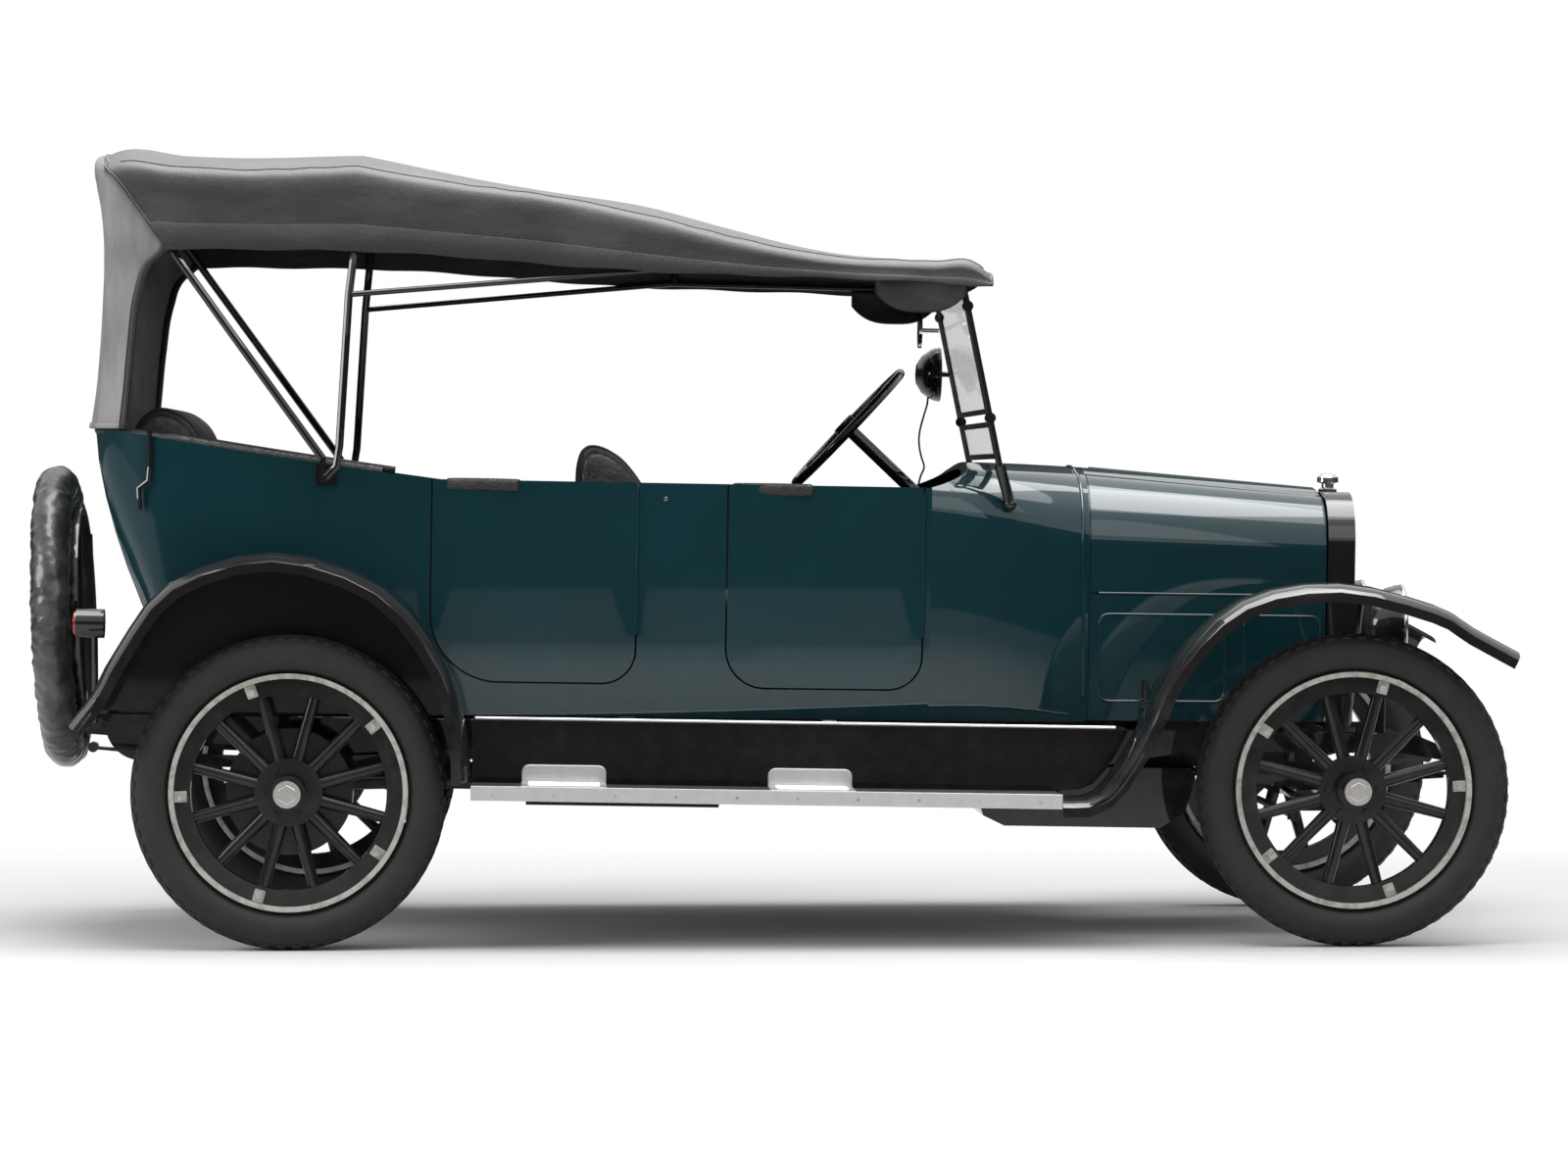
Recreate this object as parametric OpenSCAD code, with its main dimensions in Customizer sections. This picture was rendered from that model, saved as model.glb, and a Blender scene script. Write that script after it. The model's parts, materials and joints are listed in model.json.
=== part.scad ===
// Open touring car of about 1917, with a folding top and wooden spoke wheels.
// Millimetres. X runs forward, Y to the left, Z up. The origin is on the floor under the middle.
// Parts carried by the springs are drawn in the car's own frame: its origin is the middle of the
// rear axle, its x runs along the chassis rails, and it sits nose down by the rake angle.

/* [Stance] */
// Distance between the front and rear axles
wheel_base = 2896; // [2860:1:2940]
// Distance between the middles of the two wheels of an axle
track = 1422; // [1416:1:1440]
// Nose-down angle of the chassis in degrees
rake = 1; // [0.8:0.05:1.2]
// Rear axle to the back of the spare wheel
rear_overhang = 741; // [736:1:760]
// Front axle to the tip of the front wings
front_overhang = 449; // [440:1:470]

/* [Wheels] */
// Outside diameter of a tyre
tyre_od = 856; // [846:1:866]
// Width of a tyre
tyre_w = 108; // [100:1:110]
// Height of a tyre above its seat on the rim
tyre_h = 105; // [103:1:108]
// Thickness of the steel rim
rim_t = 14; // [10:1:18]
// Depth of the wooden felloe inside the rim
felloe_d = 44; // [36:1:50]
// Number of wooden spokes
spoke_count = 12; // [10:1:14]
// Spoke radius at the hub
spoke_root_r = 19; // [16:0.5:20]
// Spoke radius at the felloe
spoke_tip_r = 15; // [12:0.5:17]
// Radius of the hub flange
hub_flange_r = 92; // [84:1:100]
// Radius of the hub cap
hub_cap_r = 37; // [32:1:40]
// Radius of the stub axles that carry the wheels
spindle_r = 21; // [18:0.5:24]
// Radius of the rear brake drums
drum_r = 172; // [160:1:180]

/* [Body] */
// Greatest width of the body at the belt
body_w = 1270; // [1250:1:1280]
// Plan radius of the body sides
side_bow_r = 14000; // [12500:100:16000]
// Thickness of the body wall and doors
wall = 28; // [22:1:32]
// Height of the body's lower edge above the axle line
sill_h = 212; // [208:1:220]
// Height of the belt above the axle line
belt_h = 855; // [845:1:865]
// Inward tuck of the body side at the sill
tuck = 35; // [20:1:40]
// Gap round each door
door_gap = 5; // [5:0.5:7]
// Radius of the door hinge barrels
hinge_r = 4; // [3.5:0.5:5]
// Radius of the body's rear corners in plan
tail_corner_r = 230; // [200:1:260]

/* [Bonnet and radiator] */
// Half width of the bonnet at the scuttle
bonnet_rear_half = 420; // [410:1:425]
// Half width of the bonnet at the radiator
bonnet_front_half = 300; // [290:1:304]
// Thickness of the bonnet sheet
bonnet_t = 4; // [3:0.5:6]
// Half width of the radiator shell
radiator_half = 306; // [304:1:312]
// Depth of the radiator shell from front to back
radiator_depth = 76; // [70:1:84]

/* [Wings and running boards] */
// Distance from the middle of the car to the outer edge of the wings
wing_outer = 838; // [832:1:846]
// Thickness of the wing sheet
wing_t = 4; // [3:0.5:6]
// Height of the running board's top above the axle line
board_h = 28; // [24:1:34]
// Thickness of the running board
board_t = 22; // [18:1:26]

/* [Chassis] */
// Distance between the middles of the two chassis rails
rail_gauge = 740; // [730:1:745]
// Width of a chassis rail
rail_w = 44; // [40:1:48]
// Radius of the kingpins
kingpin_r = 11; // [9:0.5:13]
// Length of the steering arms behind the kingpins
steering_arm = 150; // [135:1:165]

/* [Top and windscreen] */
// Half width of the top at its rear
top_rear_half = 645; // [640:1:655]
// Half width of the top at the windscreen
top_front_half = 600; // [590:1:620]
// Thickness of the top cloth with its lining
cloth_t = 5; // [4:0.5:7]
// Radius of the top bows
bow_r = 11; // [9:0.5:12]
// Half distance between the windscreen posts
post_half = 520; // [510:1:526]
// Diameter of the steering wheel
steering_wheel_d = 466; // [440:1:480]

/* [Hidden] */

// Overall places, from the driving sizes
axle_z = tyre_od / 2;
rear_axle_x = (rear_overhang - wheel_base - front_overhang) / 2;
front_axle_x = rear_axle_x + wheel_base;
wheel_y = track / 2;
// The front axle's place in the car's own frame
front_x = wheel_base * cos(rake);
front_z = wheel_base * sin(rake);
// Small clearances: seated pieces, running fits and pins
seat_gap = 0.3;
rim_r = tyre_od / 2 - tyre_h;
run_gap = 0.05;
pin_gap = 0.5;
round_fn = 64;

// Body stations along the car's own x
body_half = body_w / 2;
bow_mid_x = 100;
tail_x = -561;
rear_door_x = [372, 934];
front_door_x = [1181, 1724];
door_sill = [304, 296];
door_corner = 93;
door_arch_corner = 190;
scuttle_rear_x = 1744;
tuck_h = 420;
firewall_x = front_x - 702;
bonnet_gap = 4;
bonnet_rear_x = firewall_x + bonnet_gap;
radiator_x = front_x - 18;
bonnet_front_x = radiator_x - bonnet_gap;
scuttle_top_h = 930;
bonnet_rear_top = 921;
bonnet_front_top = 872;
bonnet_fold_h = 570;
radiator_top = 862;
radiator_foot = 196;
rail_top = 190;
rail_bottom = 80;
rail_front_bottom = 135;
rail_y = rail_gauge / 2;
ledge_h = 200;
apron_y = 600;
board_front_x = front_x - 804;
board_rear_x = 493;
floor_h = sill_h + 10;
floor_t = 18;
wing_skirt = 46;
wing_inner_front = 562;
wing_inner_rear = body_half + 3;
screen_foot = [1930, 919];
screen_top = [1822, 1409];
screen_lean = atan2(screen_foot[0] - screen_top[0], screen_top[1] - screen_foot[1]);
screen_h = norm(screen_top - screen_foot);
wheel_hub_mid = [1558, 350, 1024];
column_lean = 42.6;

// Placing
module sprung() translate([rear_axle_x, 0, axle_z]) rotate([0, rake, 0]) children();
module at_front_axle() translate([front_axle_x, 0, axle_z]) children();
module at_rear_axle() translate([rear_axle_x, 0, axle_z]) children();
module pair() {
  children();
  mirror([0, 1, 0]) children();
}
// A drawing in x and z, given a thickness from y0 to y1
module side_plate(y0, y1) translate([0, y1, 0]) rotate([90, 0, 0]) linear_extrude(y1 - y0) children();
// A drawing in y and z, given a thickness from x0 to x1
module front_plate(x0, x1)
  translate([x0, 0, 0]) rotate([90, 0, 90]) linear_extrude(x1 - x0) children();
module rod(a, b, r) {
  d = b - a;
  translate(a) rotate([0, acos(d[2] / norm(d)), atan2(d[1], d[0])]) cylinder(h = norm(d), r = r, $fn = 32);
}

// A smooth curve through a few points, with some steps between each two
function curve_point(a, b, c, d, t) =
  0.5 * (2 * b + (c - a) * t + (2 * a - 5 * b + 4 * c - d) * t * t + (3 * b - a - 3 * c + d) * t * t * t);
function smooth(points, steps) = let (n = len(points)) concat(
  [for (i = [0 : n - 2], k = [0 : steps - 1])
    curve_point(points[max(i - 1, 0)], points[i], points[i + 1], points[min(i + 2, n - 1)], k / steps)],
  [points[n - 1]]);
// A value read from a table of [place, value] rows, straight between the rows
function lerp_table(table, x, col) = let (n = len(table),
    hits = [for (i = [0 : n - 2]) if (x >= table[i][0]) i], i = len(hits) > 0 ? max(hits) : 0,
    t = (x - table[i][0]) / (table[i + 1][0] - table[i][0]))
  table[i][col] + (table[i + 1][col] - table[i][col]) * t;
function unit(v) = v / norm(v);

// A closed sheet between two grids of points that face each other
module grid_shell(outer, inner) {
  m = len(outer);
  n = len(outer[0]);
  i0 = floor((m - 1) / 2);
  j0 = floor((n - 1) / 2);
  a = outer[i0][j0];
  facing = cross(outer[i0][j0 + 1] - a, outer[i0 + 1][j0 + 1] - a) * (inner[i0][j0] - a);
  function at(i, j, layer) = layer * m * n + i * n + j;
  function quad(a, b, c, d) = facing > 0 ? [[a, b, c], [a, c, d]] : [[c, b, a], [d, c, a]];
  skins = [for (i = [0 : m - 2], j = [0 : n - 2]) each concat(
    quad(at(i, j, 0), at(i, j + 1, 0), at(i + 1, j + 1, 0), at(i + 1, j, 0)),
    quad(at(i + 1, j, 1), at(i + 1, j + 1, 1), at(i, j + 1, 1), at(i, j, 1)))];
  row_ends = [for (j = [0 : n - 2]) each concat(
    quad(at(0, j + 1, 0), at(0, j, 0), at(0, j, 1), at(0, j + 1, 1)),
    quad(at(m - 1, j, 0), at(m - 1, j + 1, 0), at(m - 1, j + 1, 1), at(m - 1, j, 1)))];
  column_ends = [for (i = [0 : m - 2]) each concat(
    quad(at(i, 0, 0), at(i + 1, 0, 0), at(i + 1, 0, 1), at(i, 0, 1)),
    quad(at(i + 1, n - 1, 0), at(i, n - 1, 0), at(i, n - 1, 1), at(i + 1, n - 1, 1)))];
  polyhedron(concat([for (row = outer) each row], [for (row = inner) each row]),
    concat(skins, row_ends, column_ends));
}

// A round bar bent along a path, where side_way is never along the path
module bent_bar(path, r, side_way, sides = 10) {
  m = len(path);
  rings = [for (i = [0 : m - 1])
    let (t = unit(path[min(i + 1, m - 1)] - path[max(i - 1, 0)]), u = unit(cross(t, side_way)),
      v = cross(t, u))
    [for (k = [0 : sides - 1]) path[i] + r * (cos(360 * k / sides) * u + sin(360 * k / sides) * v)]];
  walls = [for (i = [0 : m - 2], k = [0 : sides - 1])
    let (a = i * sides + k, b = i * sides + (k + 1) % sides, c = b + sides, d = a + sides)
    each [[a, c, b], [a, d, c]]];
  polyhedron([for (ring = rings) each ring],
    concat(walls, [[for (k = [0 : sides - 1]) k]], [[for (k = [sides - 1 : -1 : 0]) (m - 1) * sides + k]]));
}

// Body lines shared by several parts
function tuck_at(h) = h >= tuck_h ? 0 : tuck * pow((tuck_h - h) / (tuck_h - sill_h), 2);
function side_y(x) = body_half - side_bow_r + sqrt(side_bow_r * side_bow_r - pow(x - bow_mid_x, 2));
belt_rise = 0.118;
belt_curl = 0.000022;
function belt(x) = let (back = max(0, rear_door_x[0] - x))
  belt_h + belt_rise * back + belt_curl * back * back;
tail_top = belt(tail_x);
tail_sweep = 126;
tail_sweep_h = 466;
function tail_inset(h) = tail_sweep * pow(max(0, tail_top - h) / tail_sweep_h, 1.6);

// Side wall of the body, bowed in plan and tucked in at the sill
wall_stations = 16;
module side_wall(top) {
  levels = concat([for (k = [0 : 4]) sill_h + (tuck_h - sill_h) * k / 4], [top]);
  step = (scuttle_rear_x + 100 - bow_mid_x) / wall_stations;
  function skin(t) = [for (k = [0 : wall_stations]) let (x = bow_mid_x + step * k)
    [for (h = levels) [x, side_y(x) - tuck_at(h) - t, h]]];
  grid_shell(skin(0), skin(wall));
}

// Outline of a door, square at the belt and rounded at the sill
module door_outline(x, sill, rear_r, top, grow) {
  x0 = x[0] - grow;
  x1 = x[1] + grow;
  z0 = sill - grow;
  r0 = rear_r + grow;
  r1 = door_corner + grow;
  translate([x0 + r0, z0]) square([x1 - x0 - r0 - r1, top - z0]);
  translate([x0, z0 + r0]) square([r0 + 1, top - z0 - r0]);
  translate([x1 - r1 - 1, z0 + r1]) square([r1 + 1, top - z0 - r1]);
  translate([x0 + r0, z0 + r0]) circle(r0, $fn = round_fn);
  translate([x1 - r1, z0 + r1]) circle(r1, $fn = round_fn);
}
module rear_door_outline(top, grow) door_outline(rear_door_x, door_sill[0], door_arch_corner, top, grow);
module front_door_outline(top, grow) door_outline(front_door_x, door_sill[1], door_corner + 17, top, grow);
module hinge_barrel(x, r, extra)
  translate([x, side_y(x), tuck_h + 20 - extra])
    cylinder(h = belt_h - tuck_h - 40 + 2 * extra, r = r, $fn = 32);

module front_door() {
  intersection() {
    side_wall(belt_h);
    side_plate(0, body_w) front_door_outline(belt_h + wall, -door_gap / 2);
  }
  hinge_barrel(front_door_x[1], hinge_r, 0);
}
module rear_door() {
  intersection() {
    side_wall(belt_h);
    side_plate(0, body_w) rear_door_outline(belt_h + wall, -door_gap / 2);
  }
  hinge_barrel(rear_door_x[1], hinge_r, 0);
}
module front_door_left() color("teal") sprung() front_door();
module front_door_right() color("teal") sprung() mirror([0, 1, 0]) front_door();
module rear_door_left() color("teal") sprung() rear_door();
module rear_door_right() color("teal") sprung() mirror([0, 1, 0]) rear_door();

// Side panels: quarter, middle pillar, front pillar and sill
module body_side() {
  difference() {
    intersection() {
      side_wall(belt(bow_mid_x) + wall);
      side_plate(0, body_w) polygon(concat(
        [[bow_mid_x, sill_h], [scuttle_rear_x, sill_h], [scuttle_rear_x, belt_h]],
        [for (k = [0 : 6]) let (x = rear_door_x[0] + (bow_mid_x - rear_door_x[0]) * k / 6) [x, belt(x)]]));
    }
    side_plate(0, body_w) rear_door_outline(belt_h + 2 * wall, door_gap / 2);
    side_plate(0, body_w) front_door_outline(belt_h + 2 * wall, door_gap / 2);
    hinge_barrel(front_door_x[1], hinge_r + pin_gap, pin_gap);
    hinge_barrel(rear_door_x[1], hinge_r + pin_gap, pin_gap);
  }
}
module body_sides() color("teal") sprung() pair() body_side();

// Tail: one skin round the back of the body, swept under towards the tank
module body_tail() {
  corner = [tail_x + tail_corner_r, body_half - tail_corner_r];
  side_steps = 4;
  half_plan = concat(
    [for (k = [0 : side_steps - 1]) [bow_mid_x + (corner[0] - bow_mid_x) * k / side_steps, body_half, 90]],
    [for (k = [0 : 8]) let (a = 90 + 90 * k / 8)
      [corner[0] + tail_corner_r * cos(a), corner[1] + tail_corner_r * sin(a), a]]);
  n = len(half_plan);
  plan = concat(half_plan, [[tail_x, 0, 180]],
    [for (k = [n - 1 : -1 : 0]) [half_plan[k][0], -half_plan[k][1], 360 - half_plan[k][2]]]);
  rows = 8;
  function skin(t) = [for (k = [0 : rows]) [for (p = plan)
    let (h = sill_h + (belt(p[0]) - sill_h) * k / rows, c = cos(p[2]), s = sin(p[2]))
    [p[0] - c * (tail_inset(h) + t), p[1] - s * (tuck_at(h) + t), h]]];
  color("teal") sprung() grid_shell(skin(0), skin(wall));
}

// Arched section shared by scuttle and bonnet: from the left foot over the top to the right foot
section_crown = 22;
function half_section(x, half, top, r, tuck_share, t, foot) = let (c = [half - r, top - section_crown - r])
  concat(
  [for (h = [foot, foot + (tuck_h - foot) / 2, tuck_h]) [x, half - t - tuck_at(h) * tuck_share, h]],
  [for (a = [0 : 15 : 90]) [x, c[0] + (r - t) * cos(a), c[1] + (r - t) * sin(a)]],
  [for (f = [0.66, 0.33]) [x, c[0] * f, top - t - section_crown * f * f]]);
function full_section(x, half, top, r, tuck_share, t, foot) =
  let (left = half_section(x, half, top, r, tuck_share, t, foot), n = len(left))
  concat(left, [[x, 0, top - t]], [for (k = [n - 1 : -1 : 0]) [x, -left[k][1], left[k][2]]]);

// Bonnet stations: x, half width, top and corner radius
bonnet_rows = [[bonnet_rear_x, bonnet_rear_half, bonnet_rear_top, 200],
  [bonnet_front_x, bonnet_front_half, bonnet_front_top, 165]];
function bonnet_at(x) = let (f = (x - bonnet_rows[0][0]) / (bonnet_rows[1][0] - bonnet_rows[0][0]))
  bonnet_rows[0] + (bonnet_rows[1] - bonnet_rows[0]) * f;
// A lip under the bonnet's edge, from x0 to x1
lip_t = 8;
lip_end_x = firewall_x + 26;
function lip_row(x, t) = let (s = bonnet_at(x))
  full_section(s[0], s[1], s[2], s[3], 0, bonnet_t + seat_gap + t, sill_h + 6);
module bonnet_lip(x0, x1) grid_shell([lip_row(x0, 0), lip_row(x1, 0)],
  [lip_row(x0, lip_t), lip_row(x1, lip_t)]);

// Scuttle sections: x, half width, top, corner radius, share of the body's tuck
scuttle_t = 20;
scuttle_sections = smooth([[scuttle_rear_x, side_y(scuttle_rear_x), scuttle_top_h, 120, 1],
  [scuttle_rear_x + 146, 510, scuttle_top_h, 140, 0.8],
  [(scuttle_rear_x + 2 * firewall_x) / 3, 468, scuttle_top_h - 3, 172, 0.4],
  [firewall_x, bonnet_rear_half, bonnet_rear_top, 200, 0]], 2);
function scuttle_row(s, t) = full_section(s[0], s[1], s[2], s[3], s[4], t, sill_h);
module screen_foot_bracket(grow) {
  translate([0, post_half, 0]) {
    rod([screen_foot[0] + 34, -26, screen_foot[1] - 106], [screen_foot[0], 0, screen_foot[1]], 15 + grow);
    translate([screen_foot[0] + 34, -26, screen_foot[1] - 106]) sphere(18 + grow, $fn = 32);
  }
}
column_way = [sin(90 - column_lean), 0, -sin(column_lean)];
module steering_tube(r, a, b) rod(wheel_hub_mid + a * column_way, wheel_hub_mid + b * column_way, r);
module scuttle() {
  mouth = smooth([[scuttle_rear_x - 1, belt_h], [scuttle_rear_x + 47, belt_h + 16],
    [scuttle_rear_x + 101, belt_h + 46],
    [scuttle_rear_x + 140, scuttle_top_h + 30]], 4);
  wall_plan = [for (p = full_section(0, bonnet_rear_half, bonnet_rear_top, 200, 0, 3, sill_h)) [p[1],
    p[2]]];
  color("teal") sprung() difference() {
    union() {
      grid_shell([for (s = scuttle_sections) scuttle_row(s, 0)],
        [for (s = scuttle_sections) scuttle_row(s, scuttle_t)]);
      front_plate(firewall_x - 14, firewall_x) polygon(wall_plan);
      bonnet_lip(firewall_x - 4, lip_end_x);
    }
    side_plate(-body_w, body_w) polygon(concat(mouth, [[scuttle_rear_x - 1, scuttle_top_h + 30]]));
    pair() screen_foot_bracket(seat_gap);
    steering_tube(24, 600, 1000);
  }
}

// Bonnet: two top panels and two side panels, hinged at the ridge and at the fold
fold_r = 4;
ridge_r = 5;
function bonnet_top_row(s, t) = concat(
  [for (h = [bonnet_fold_h + fold_r + pin_gap, bonnet_fold_h + 60]) [s[0], s[1] - t, h]],
  [for (p = half_section(s[0], s[1], s[2], s[3], 0, t, sill_h)) if (p[2] > bonnet_fold_h + 62) p],
  [[s[0], ridge_r + pin_gap, s[2] - t]]);
function bonnet_side_row(s, t) = [for (h = [bonnet_fold_h - fold_r - pin_gap, sill_h + 4]) [s[0], s[1] - t,
  h]];
module bonnet_top_panels() color("teal") sprung() {
  pair() grid_shell([for (s = bonnet_rows) bonnet_top_row(s, 0)],
    [for (s = bonnet_rows) bonnet_top_row(s, bonnet_t)]);
  back = bonnet_at(lip_end_x + 2);
  rod([back[0], 0, back[2] - bonnet_t / 2], [bonnet_rows[1][0], 0, bonnet_rows[1][2] - bonnet_t / 2],
    ridge_r);
}
module bonnet_side_panels() color("teal") sprung() pair() {
  grid_shell([for (s = bonnet_rows) bonnet_side_row(s, 0)],
    [for (s = bonnet_rows) bonnet_side_row(s, bonnet_t)]);
  back = bonnet_at(lip_end_x + 2);
  rod([back[0], back[1] - bonnet_t / 2, bonnet_fold_h],
    [bonnet_rows[1][0], bonnet_rows[1][1] - bonnet_t / 2, bonnet_fold_h], fold_r);
}

// Radiator
radiator_corner = 150;
core_border = 44;
module radiator_outline(inset, r) {
  half = radiator_half - inset;
  top = radiator_top - inset * 1.5;
  foot = radiator_foot + inset;
  translate([-half, foot]) square([2 * half, top - r - foot]);
  translate([-half + r, foot]) square([2 * (half - r), top - foot]);
  for (s = [-1, 1]) translate([s * (half - r), top - r]) circle(r, $fn = round_fn);
}
module radiator_shell() color("black") sprung() difference() {
  front_plate(radiator_x, radiator_x + radiator_depth) radiator_outline(0, radiator_corner);
  front_plate(radiator_x - 1, radiator_x + radiator_depth + 1)
    radiator_outline(core_border, radiator_corner - core_border);
}
module radiator_core() color("dimgray") sprung()
  front_plate(radiator_x + 6, radiator_x + radiator_depth - 10)
    radiator_outline(core_border + seat_gap, radiator_corner - core_border);
module radiator_cap() color("silver") sprung() translate([radiator_x + radiator_depth / 2, 0,
  radiator_top + seat_gap])
  rotate_extrude($fn = round_fn)
    polygon([[0, 0], [26, 0], [26, 8], [17, 12], [17, 24], [30, 28], [30, 42], [20, 50], [8, 54], [0, 54]]);

// Chassis
rail_rear_x = -575;
rail_front_x = front_x + 390;
crank_r = 14;
cross_members = [rail_rear_x, 300, 900, 1480, front_x - 70];
module rail() difference() {
  side_plate(rail_y - rail_w / 2, rail_y + rail_w / 2) polygon([[rail_rear_x, rail_front_bottom],
    [0, rail_bottom + 20], [300, rail_bottom], [front_x - 700, rail_bottom],
      [front_x - 400, rail_front_bottom],
    [front_x + 200, rail_front_bottom], [rail_front_x, 104], [rail_front_x + 14, 118],
      [front_x + 220, rail_top],
    [rail_rear_x, rail_top]]);
  side_plate(rail_y - rail_w, rail_y + rail_w / 2 - 8)
    polygon([[100, rail_top - 10], [140, rail_bottom + 22],
    [300, rail_bottom + 10], [front_x - 700, rail_bottom + 10], [front_x - 600, rail_top - 10]]);
}
module board_iron(x) {
  translate([x - 20, rail_y + rail_w / 2 - 1, board_h - board_t - seat_gap - 12]) cube([40, 10, 120]);
  translate([x - 20, rail_y + rail_w / 2 - 1, board_h - board_t - seat_gap - 12])
    cube([40, wing_outer - rail_y - 60, 12]);
}
module frame() color("black") sprung() {
  pair() {
    rail();
    for (x = [board_rear_x + 150, board_front_x - 400]) board_iron(x);
  }
  difference() {
    for (x = cross_members) translate([x, -rail_y, rail_front_bottom + 3])
      cube([44, rail_gauge, rail_top - rail_front_bottom - 6]);
    rod([front_x - 80, 0, 162.5], [front_x, 0, 162.5], crank_r);
  }
}

// Leaf springs: half length, bend radius and number of leaves
leaf_t = 8;
leaf_w = 44;
module leaf_spring(half_len, bend_r, leaves) {
  function sag(x) = x * x / (2 * bend_r);
  function leaf_len(k) = half_len * (1 - k / (leaves + 0.6));
  right = [for (k = [0 : leaves - 1], x = [leaf_len(k), k < leaves - 1 ? leaf_len(k + 1) : 0]) [x,
    sag(x) + (leaves - 1 - k) * leaf_t]];
  left = [for (k = [len(right) - 2 : -1 : 0]) [-right[k][0], right[k][1]]];
  upper = [for (k = [-8 : 8]) [half_len * k / 8, sag(half_len * k / 8) + leaves * leaf_t]];
  side_plate(-leaf_w / 2, leaf_w / 2) polygon(concat(upper, right, left));
  for (s = [-1, 1]) translate([s * (half_len + 8), 0, leaves * leaf_t + sag(half_len) - 2])
    rotate([90, 0, 0]) cylinder(h = leaf_w, r = 14, center = true, $fn = 32);
}
front_spring = [372, 5000, 5];
rear_spring = [540, 5000, 5];
beam_top = -20;
axle_tube_r = 38;
spring_y_rear = rail_y + rail_w / 2 + 60;
module springs() color("black") {
  at_front_axle() pair() translate([0, rail_y, beam_top + seat_gap])
    leaf_spring(front_spring[0], front_spring[1], front_spring[2]);
  at_rear_axle() pair() translate([0, spring_y_rear, axle_tube_r + 6 + seat_gap])
    leaf_spring(rear_spring[0], rear_spring[1], rear_spring[2]);
}

// Front axle: a dropped beam with a boss for each kingpin
kingpin_y = wheel_y - 75;
boss_r = 30;
boss_h = 70;
beam_h = 62;
beam_t = 52;
module front_axle() color("black") at_front_axle() difference() {
  union() {
    front_plate(-beam_t / 2, beam_t / 2) polygon([[-kingpin_y, -24], [-kingpin_y + 90, beam_top - beam_h],
      [kingpin_y - 90, beam_top - beam_h],
      [kingpin_y, -24], [kingpin_y, 24], [kingpin_y - 60, beam_top + 4], [kingpin_y - 110, beam_top],
        [-kingpin_y + 110, beam_top],
      [-kingpin_y + 60, beam_top + 4], [-kingpin_y, 24]]);
    pair() translate([0, kingpin_y, -boss_h / 2]) cylinder(h = boss_h, r = boss_r, $fn = round_fn);
  }
  for (s = [-1, 1]) translate([s * (beam_t / 2), 0, beam_top - beam_h / 2])
    cube([beam_t - 16, 2 * (kingpin_y - 130), beam_h - 20], center = true);
  pair() translate([0, kingpin_y, -boss_h]) cylinder(h = 2 * boss_h, r = kingpin_r + run_gap,
    $fn = round_fn);
  pair() translate([0, kingpin_y, -boss_h / 2 - pin_gap / 2 - beam_h])
    cylinder(h = beam_h, r = boss_r + 4, $fn = round_fn);
}

// Knuckle: kingpin, two ears, web, stub axle and steering arm
ear_h = 26;
ear_z = boss_h / 2 + pin_gap;
arm_pin_r = 8;
stub_end = 58;
rod_eye_h = 24;
module knuckle_part() {
  translate([0, kingpin_y, 0]) {
    translate([0, 0, -ear_z - ear_h]) cylinder(h = 2 * (ear_z + ear_h), r = kingpin_r, $fn = round_fn);
    for (z = [ear_z, -ear_z - ear_h]) {
      translate([0, 0, z]) cylinder(h = ear_h, r = boss_r - 3, $fn = round_fn);
      translate([-24, 0, z]) cube([48, boss_r + 16, ear_h]);
    }
    translate([-24, boss_r + 2, -ear_z - ear_h]) cube([48, 14, 2 * (ear_z + ear_h)]);
    translate([-steering_arm, -14, -ear_z - ear_h]) cube([steering_arm, 28, 16]);
    translate([-steering_arm, 0, -ear_z - ear_h]) cylinder(h = 16, r = 16, $fn = round_fn);
    translate([-steering_arm, 0, -ear_z - ear_h - rod_eye_h - 6])
      cylinder(h = rod_eye_h + 8, r = arm_pin_r, $fn = round_fn);
  }
  translate([0, kingpin_y + boss_r + 6, 0]) rotate([-90, 0, 0])
    cylinder(h = wheel_y + stub_end - kingpin_y - boss_r - 6, r = spindle_r, $fn = round_fn);
}
module knuckle_left() color("dimgray") at_front_axle() knuckle_part();
module knuckle_right() color("dimgray") at_front_axle() mirror([0, 1, 0]) knuckle_part();
module tie_rod() color("dimgray") at_front_axle()
  translate([-steering_arm, 0, -ear_z - ear_h - rod_eye_h - pin_gap]) difference() {
  union() {
    translate([0, -kingpin_y, rod_eye_h / 2]) rotate([-90, 0, 0])
      cylinder(h = 2 * kingpin_y, r = 10, $fn = round_fn);
    pair() translate([0, kingpin_y, 0]) cylinder(h = rod_eye_h, r = 17, $fn = round_fn);
  }
  pair() translate([0, kingpin_y, -1]) cylinder(h = rod_eye_h + 2, r = arm_pin_r + run_gap, $fn = round_fn);
}

// Rear axle: tubes, differential, torque tube and drum backing plates
drum_in = 95;
drum_out = 28;
torque_front = 1490;
module rear_axle() color("black") at_rear_axle() {
  rotate([90, 0, 0]) cylinder(h = 2 * (wheel_y - drum_in - 6), r = axle_tube_r, center = true,
    $fn = round_fn);
  rotate([90, 0, 0]) cylinder(h = 2 * (wheel_y + stub_end), r = spindle_r, center = true, $fn = round_fn);
  sphere(135, $fn = round_fn);
  rod([60, 0, 0], [torque_front, 0, 30], 36);
  pair() {
    translate([0, wheel_y - drum_in, 0]) rotate([-90, 0, 0])
      cylinder(h = 10, r = drum_r - 16, $fn = round_fn);
    translate([-45, spring_y_rear - leaf_w / 2, axle_tube_r - 20]) cube([90, leaf_w, 26]);
  }
}

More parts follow.
